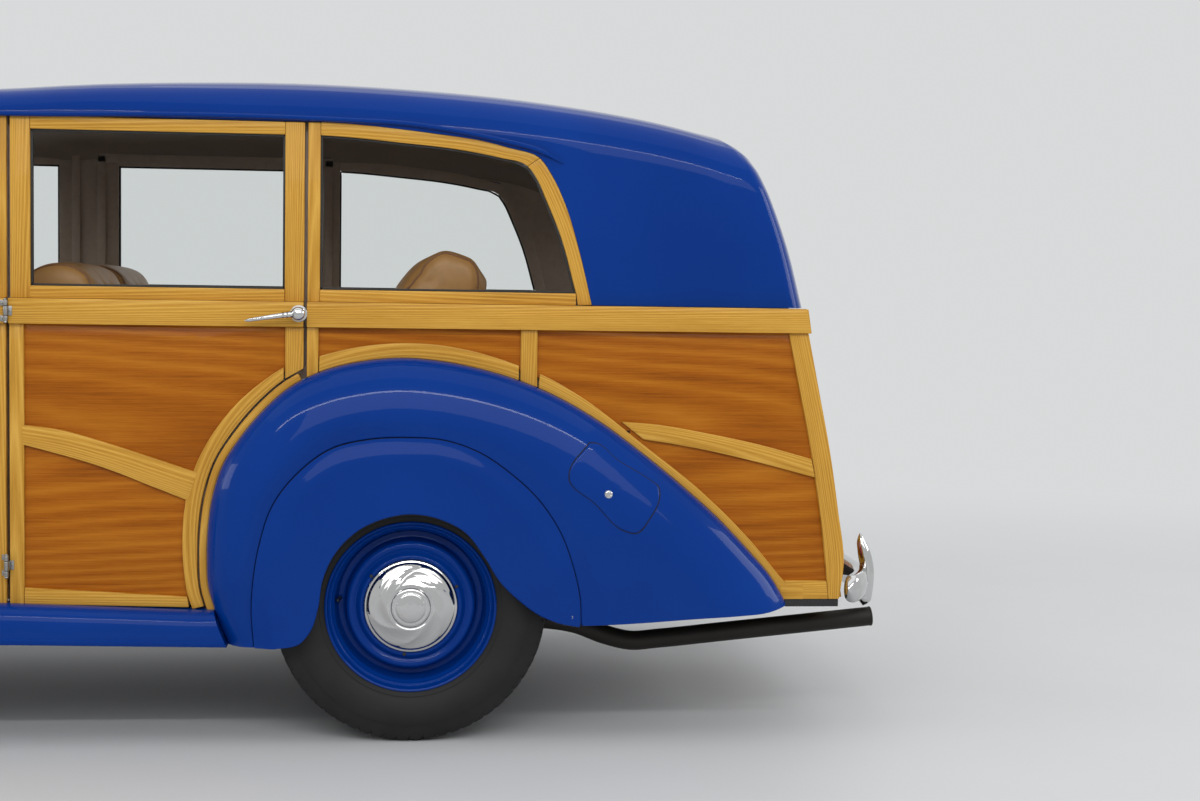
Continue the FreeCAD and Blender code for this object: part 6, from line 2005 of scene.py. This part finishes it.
def piping(shape, mesh, centre, y):
    # a welt that follows the cushion round at one place across it
    tree = BVHTree.FromPolygons([v.co for v in mesh.vertices], [tuple(p.vertices) for p in mesh.polygons])
    start = Vector((axleX + centre[0], y, seatFloor + centre[1]))
    hits = [tree.ray_cast(start, Vector((math.cos(a), 0, math.sin(a))), 1.0)[0] for a in turns(96)]
    path = [hit for hit in hits if hit is not None]
    shape.sweep(path, roundSection(0.0036, 8), up=(0, 1, 0), wrap=True)


def makeSeats():
    s, up, forwards = seats, (0, 0, 1), (-0.97, 0, 0.2)
    high = s["half"]
    for name, node, low, facing in (
        ("frontBase", "front_seats", s["gap"], up),
        ("frontBack", "front_seats", s["gap"], forwards),
        ("rearBase", "rear_seat", -high, up),
        ("rearBack", "rear_seat", -high, forwards),
    ):
        mesh, points, centre = cushionMesh(name, s[name], low, high)
        fluted(mesh, points, facing, low, high, s["pitch"], s["flute"], s["pitch"])
        if low > 0:
            pieces = [finishCushion(name + "Right", mesh), finishCushion(name + "Left", mesh, mirror=True)]
        else:
            pieces = [finishCushion(name, mesh)]
        welt = Shape()
        for piece in pieces:
            span = [v.co.y for v in piece.data.vertices]
            for y in (min(span) + 0.021, max(span) - 0.021):
                piping(welt, piece.data, centre, y)
        pieces.append(welt.piece(name + "Piping", "welt", "body", "leather"))
        for piece in pieces:
            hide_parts(node)
    # plinths under the cushions
    for name, x0, x1, spans in (
        ("frontPlinth", -1.44, -0.93, ((-0.575, -0.045), (0.045, 0.575))),
        ("rearPlinth", -0.44, 0.075, ((-0.575, 0.575),)),
    ):
        base = Shape()
        for y0, y1 in spans:
            corners = ((x0, y0, 0.012), (x1, y0, -0.012), (x1, y1, -0.012), (x0, y1, 0.012))
            lows = [(axleX + x, y, seatFloor + 0.0005) for x, y, _ in corners]
            base.block(lows, [(axleX + x + d, y * 0.985, seatFloor + s["plinth"]) for x, y, d in corners])
        base.piece(name, "trim", "body", "leather", 0.006)


makeSeats()
print("seats built")


# dashboard, steering wheel, pedals and the load deck
cabin = {
    "wheelCentre": (-1.646, 0.32, 1.025), "tilt": 60, "rim": 0.215, "tube": 0.0125,
    "dashFront": -1.926, "dashBack": -1.856, "dashHalf": 0.627, "dashLow": 0.942, "dashHigh": 1.129,
    "dials": (
        (0.32, 1.06, 0.052), (0.44, 1.056, 0.038), (0.2, 1.056, 0.038), (0.075, 1.056, 0.026),
        (-0.005, 1.056, 0.026),
    ),
    "knobs": (0.1, 0.05, 0.0, -0.05),
}


def makeDashboard():
    c = cabin
    x0, x1 = axleX + c["dashFront"], axleX + c["dashBack"]
    half, high = c["dashHalf"], c["dashHigh"]
    dip = lambda far: math.exp(-((far / 0.16) ** 2))
    rows = []
    for y in np.linspace(-half, half, 61):
        low = c["dashLow"] + 0.02 - 0.02 * dip(y - 0.32) - 0.015 * dip(y + 0.32)
        rows.append([
            (x0 + 0.002, y, high - 0.01), (x0 + 0.03, y, high), (x1 - 0.016, y, high),
            (x1 - 0.004, y, high - 0.006),
            (x1 - 0.0005, y, high - 0.02), (x1 - 0.006, y, low + 0.02), (x1 - 0.01, y, low + 0.004),
            (x1 - 0.018, y, low), (x0 + 0.03, y, low + 0.004), (x0 + 0.004, y, low + 0.02),
        ])
    form = Shape().tube(rows, grain=[(y + 3.1, z - 1.02) for row in rows for _, y, z in row])
    form.piece("dashVeneer", "dash", "body", "dash_wood", sharp=40, replaces=("dashboard",))
    rims, dials, hands = Shape(), Shape(), Shape()

    def mark(y, z, turn, lift, ends, thick):
        # a thin bar on a dial; ends are (reach, half width) pairs
        across, up = math.sin(turn), math.cos(turn)
        (a, wideA), (b, wideB) = ends
        corners = ((a, -wideA), (b, -wideB), (b, wideB), (a, wideA))
        ring = [(y + across * q - up * w, z + up * q + across * w) for q, w in corners]
        hands.block(*([(x1 - 0.0035 + x, *p) for p in ring] for x in (lift, lift + thick)))

    for y, z, r in c["dials"]:
        spot = (x1 - 0.0035, y, z)
        ring = [(r - 0.004, 0.0), (r + 0.004, -0.002), (r + 0.0045, 0.003), (r + 0.001, 0.007), (r - 0.003, 0.0075)]
        rims.turned([*ring, (r - 0.005, 0.004), (r - 0.0045, 0.0)], spot, (1, 0, 0), 56)
        dials.turned([(0, 0.0012), (r - 0.004, 0.0012), (r - 0.004, -0.004), (0, -0.004)], spot, (1, 0, 0), 48)
        for k in range(11):
            mark(y, z, math.radians(-130 + 26 * k), 0.0016, ((r * 0.72, 0.0009), (r * 0.86, 0.0009)), 0.0004)
        mark(y, z, math.radians(-90), 0.003, ((-r * 0.15, 0.0012), (r * 0.7, 0.0004)), 0.0005)
    knob = [(0, -0.002), (0.0085, -0.002), (0.0085, 0.002), (0.0045, 0.004), (0.004, 0.012), (0.0075, 0.014)]
    for y in c["knobs"]:
        rims.turned([*knob, (0.008, 0.021), (0.005, 0.024), (0, 0.0245)], (x1 - 0.006, y, 0.99), (1, 0, 0), 28)
    rims.piece("dialRims", "chrome", "body", "chrome")
    dials.piece("dialFaces", "black", "body", "black_plastic")
    hands.piece("dialMarks", "lamp", "body", "black_plastic")
    glovebox = Shape()
    corners = np.array([(-0.56, 0.99), (-0.16, 0.99), (-0.16, 1.096), (-0.56, 1.096)])
    for a, b in zip(corners, np.roll(corners, -1, axis=0)):
        run = (b - a) / np.linalg.norm(b - a)
        inward = np.array((-run[1], run[0])) * 0.003
        onDash = lambda y, z, out: (x1 - 0.0022 + out, y, z)
        glovebox.board([a, b], [a + inward, b + inward], onDash, 0.0022, -0.004)
    catch = [(0, 0), (0.01, 0), (0.01, 0.004), (0.006, 0.012), (0, 0.0125)]
    glovebox.turned(catch, (x1 - 0.004, -0.36, 1.075), (1, 0, 0), 28)
    glovebox.piece("gloveBoxTrim", "chrome", "body", "chrome")


def makeSteering():
    cx, cy, cz = cabin["wheelCentre"]
    centre = Vector((axleX + cx, cy, cz))
    turn = math.radians(cabin["tilt"])
    axis = Vector((math.sin(turn), 0, math.cos(turn)))
    one = Vector((0, 1, 0))
    two = axis.cross(one)
    rim = Shape()
    path, sizes = [], []
    for a in turns(144):
        path.append(centre + (one * math.cos(a) + two * math.sin(a)) * cabin["rim"])
        sizes.append(cabin["tube"] * (1 - 0.06 * (0.5 + 0.5 * math.cos(a * 36))))
    rim.sweep(path, roundSection(1.0, 14), up=axis, wrap=True, scales=sizes)
    hub = [(0.016, -0.03), (0.03, -0.026), (0.034, -0.012), (0.036, 0.0), (0.034, 0.006), (0.028, 0.01)]
    rim.turned([*hub, (0.024, 0.0105)], centre, axis, 56)
    rim.piece("steeringRim", "black", "steering_wheel", "black_plastic", sharp=60, replaces=("steering_wheel",))
    wires = Shape()
    for number in range(3):
        a = math.radians(90 + 120 * number)
        out = one * math.cos(a) + two * math.sin(a)
        across = two * math.cos(a) - one * math.sin(a)
        for off in (-0.011, -0.0035, 0.0035, 0.011):
            start = centre + out * 0.026 + across * off * 0.6 - axis * 0.006
            mid = centre + out * 0.12 + across * off - axis * 0.004
            end = centre + out * (cabin["rim"] - 0.004) + across * off * 1.5
            wires.sweep(smoothed([start, mid, end], 14), roundSection(0.0023, 8), up=axis)
    wires.turned([(0.0245, 0.006), (0.026, 0.011), (0.022, 0.014), (0.012, 0.0165), (0, 0.017)], centre, axis, 48)
    wires.turned([(0, -0.034), (0.018, -0.034), (0.019, -0.026), (0, -0.024)], centre, axis, 40)
    wires.piece("steeringSpokes", "chrome", "steering_wheel", "black_plastic")
    column = Shape()
    foot, top = centre - axis * 0.5703, centre - axis * 0.0405
    length = (top - foot).length
    tube = [(0, 0), (0.022, 0), (0.022, length - 0.06), (0.0235, length - 0.055), (0.0235, length - 0.004)]
    column.turned([*tube, (0.02, length), (0, length)], foot, axis, 40)
    clamp = centre - axis * 0.245
    column.turned([(0.0225, -0.016), (0.029, -0.014), (0.029, 0.014), (0.0225, 0.016)], clamp, axis, 36)
    for y in (-0.022, 0.022):
        strap = [clamp + Vector((x, y, z)) for x, z in ((0.0, 0.01), (-0.012, 0.045), (-0.02, 0.075))]
        column.sweep(strap, rounded(0.004, 0.02, 0.0015, 3), up=(0, 1, 0))
    column.piece("steeringColumn", "black", "body", "black_plastic")


controls = {
    "pedals": ((-1.985, 0.4), (-1.985, 0.3), (-1.975, 0.2)), "pedalZ": 0.64,
    "arm": ((0, 0), (-0.05, 0.02), (-0.11, -0.03)),
    "pad": ((0, -0.004), (0.03, -0.004), (0.032, 0.0), (0.03, 0.005), (0, 0.006)),
    "lever": ((-1.64, 0.0, 0.512), (-1.64, 0.0, 0.64), (-1.6, 0.01, 0.76)),
    "knob": (
        (0, -0.006), (0.008, -0.006), (0.016, 0.004), (0.018, 0.014), (0.014, 0.024), (0.006, 0.029), (0, 0.0295),
    ),
    "boot": (
        (0.06, 0.0), (0.052, 0.012), (0.044, 0.014), (0.036, 0.026), (0.03, 0.028), (0.02, 0.044),
        (0.013, 0.048), (0.007, 0.06),
    ),
}


def makeControls():
    c, form = controls, Shape()
    for x, y in c["pedals"]:
        pad = Vector((axleX + x, y, c["pedalZ"]))
        form.sweep([pad + Vector((dx, 0, dz)) for dx, dz in c["arm"]], roundSection(0.006, 8))
        form.turned(c["pad"], pad, (0.85, 0, 0.35), 24)
    lever = [(axleX + x, y, z) for x, y, z in c["lever"]]
    form.sweep(smoothed(lever, 18), roundSection(0.0055, 10))
    form.turned(c["knob"], lever[-1], (0.2, 0, 1), 28)
    form.turned(c["boot"], (*lever[0][:2], seatFloor + 0.0005), (0, 0, 1), 36)
    form.piece("pedalsAndLever", "black", "body", "black_plastic")


deck = {"front": 0.215, "back": 0.985, "half": 0.56, "count": 8, "gap": 0.004, "strip": 0.006}


def makeDeck():
    # narrow boards between bright strips over the load floor
    boards, strips, d = Shape(), Shape(), deck
    flat = lambda x, y, z: (axleX + x, y, z)
    step = 2 * d["half"] / d["count"]
    for k in range(d["count"]):
        y = -d["half"] + k * step
        level(boards, flat, d["front"], d["back"], y + d["gap"], y + step - d["gap"], 0.526, 0.5157)
        if k:
            level(strips, flat, d["front"], d["back"], y - d["strip"], y + d["strip"], 0.5285, 0.516)
    boards.piece("loadDeck", "ash", "body", "wood", 0.0015)
    strips.piece("deckStrips", "chrome", "body", "chrome", 0.0012)


makeDashboard()
makeSteering()
makeControls()
makeDeck()
dress("carpet", "floor")
dress("chassis", "chassis_frame", "rear_axle", "front_axle", "knuckle_left", "knuckle_right")
dress("iron", "engine")
print("cabin built")


# camera, light and floor
view = {"focal": 1869.0, "width": 1200.0, "spot": (-0.03, -5.633, 1.184), "yaw": 6.09, "pitch": 3.41, "roll": 0.864}


def makeCamera():
    yaw, pitch, roll = (math.radians(view[name]) for name in ("yaw", "pitch", "roll"))
    forward = Vector((math.sin(yaw) * math.cos(pitch), math.cos(yaw) * math.cos(pitch), -math.sin(pitch)))
    right = Vector((math.cos(yaw), -math.sin(yaw), 0))
    up = right.cross(forward)
    right, up = right * math.cos(roll) + up * math.sin(roll), up * math.cos(roll) - right * math.sin(roll)
    data = bpy.data.cameras.new("camera")
    data.sensor_width = 36.0
    data.lens = view["focal"] / view["width"] * 36.0
    data.clip_end = 200
    camera = linked("camera", data)
    x, y, z = view["spot"]
    spot = Vector((axleX + x, y, z))
    camera.matrix_world = Matrix.Translation(spot) @ Matrix((right, up, -forward)).transposed().to_4x4()
    bpy.context.scene.camera = camera


stage = {"backdrop": (0.69, 0.7, 0.705), "fill": 0.68, "fade": (2.6, 6.5), "reach": 60}
lamps = {
    # place, target, size across, size up, power
    "sideSoftbox": ((1.6, -6.4, 3.4), (0.9, 0, 0.9), 7.0, 2.2, 105),
    "sideStrip": ((0.6, -5.2, 3.9), (0.6, 0, 0.9), 8.0, 0.2, 95),
    "farSoftbox": ((0.5, 9.0, 3.6), (0.3, 0, 1.0), 18.0, 3.0, 330),
    "topSoftbox": ((0.2, 0.0, 5.6), (0.2, 0, 0), 11.0, 8.0, 150),
    "noseLight": ((-7.0, -1.5, 2.8), (-1.5, 0, 0.8), 3.5, 2.0, 100),
    "tailLight": ((7.5, -1.0, 3.0), (2.0, 0, 0.9), 3.5, 2.0, 100),
}


def seenRays(tree):
    # one for what the camera, a reflection or a pane of glass sees
    path = tree.nodes.new("ShaderNodeLightPath")
    total = path.outputs["Is Camera Ray"]
    for name in ("Is Glossy Ray", "Is Transmission Ray"):
        larger = tree.nodes.new("ShaderNodeMath")
        larger.operation = "MAXIMUM"
        tree.links.new(total, larger.inputs[0])
        tree.links.new(path.outputs[name], larger.inputs[1])
        total = larger.outputs[0]
    return total


def makeStage():
    world = bpy.data.worlds.new("studio")
    bpy.context.scene.world = world
    world.use_nodes = True
    tree = world.node_tree
    tree.nodes.clear()
    pale, plain = (tree.nodes.new("ShaderNodeBackground") for _ in range(2))
    for node, strength in ((pale, 1.0), (plain, stage["fill"])):
        node.inputs[0].default_value, node.inputs[1].default_value = (*stage["backdrop"], 1), strength
    mix, output = tree.nodes.new("ShaderNodeMixShader"), tree.nodes.new("ShaderNodeOutputWorld")
    tree.links.new(seenRays(tree), mix.inputs[0])
    tree.links.new(plain.outputs[0], mix.inputs[1])
    tree.links.new(pale.outputs[0], mix.inputs[2])
    tree.links.new(mix.outputs[0], output.inputs[0])
    for name, (place, target, across, tall, power) in lamps.items():
        data = bpy.data.lights.new(name, "AREA")
        data.shape, data.size, data.size_y, data.energy = "RECTANGLE", across, tall, power
        lamp = linked(name, data)
        lamp.location = place
        lamp.rotation_euler = (Vector(target) - Vector(place)).to_track_quat("-Z", "Y").to_euler()
        lamp.visible_glossy = name != "farSoftbox"
    mesh = bpy.data.meshes.new("floor")
    reach = stage["reach"]
    mesh.from_pydata(
        [(x * reach, y * reach, 0) for x, y in ((-1, -1), (1, -1), (1, 1), (-1, 1))], [], [(0, 1, 2, 3)]
    )
    floor = linked("floor", mesh)
    # the floor is lit near the car and fades into the backdrop further out
    f = Finish("paleFloor", roughness=0.5, specularIorLevel=0.3)
    f.set(baseColor=f.mix(f.noise(f.position(), 1.5, 3.0), (0.56, 0.57, 0.58), (0.6, 0.61, 0.62)))
    glow = f.node("Emission", None, {0: stage["backdrop"], 1: 1.0})
    away = f.node("VectorMath", {"operation": "LENGTH"}, {0: f.scaled(f.position(), 0.72, 1.0, 1.0)}, 1)
    near, far = stage["fade"]
    share = f.node("MapRange", {"interpolation_type": "SMOOTHSTEP"}, {0: away, 1: near, 2: far, 3: 0.0, 4: 1.0})
    seen = Link(f, seenRays(f.tree))
    mixed = f.node("MixShader", None, {0: share * seen, 1: Link(f, f.shader.outputs[0]), 2: glow})
    output = next(n for n in f.tree.nodes if n.type == "OUTPUT_MATERIAL")
    f.tree.links.new(mixed.socket, output.inputs[0])
    mesh.materials.append(f.material)


makeCamera()
makeStage()
scene = bpy.context.scene
scene.view_settings.view_transform = "Standard"
bpy.context.view_layer.update()
print("scene ready")
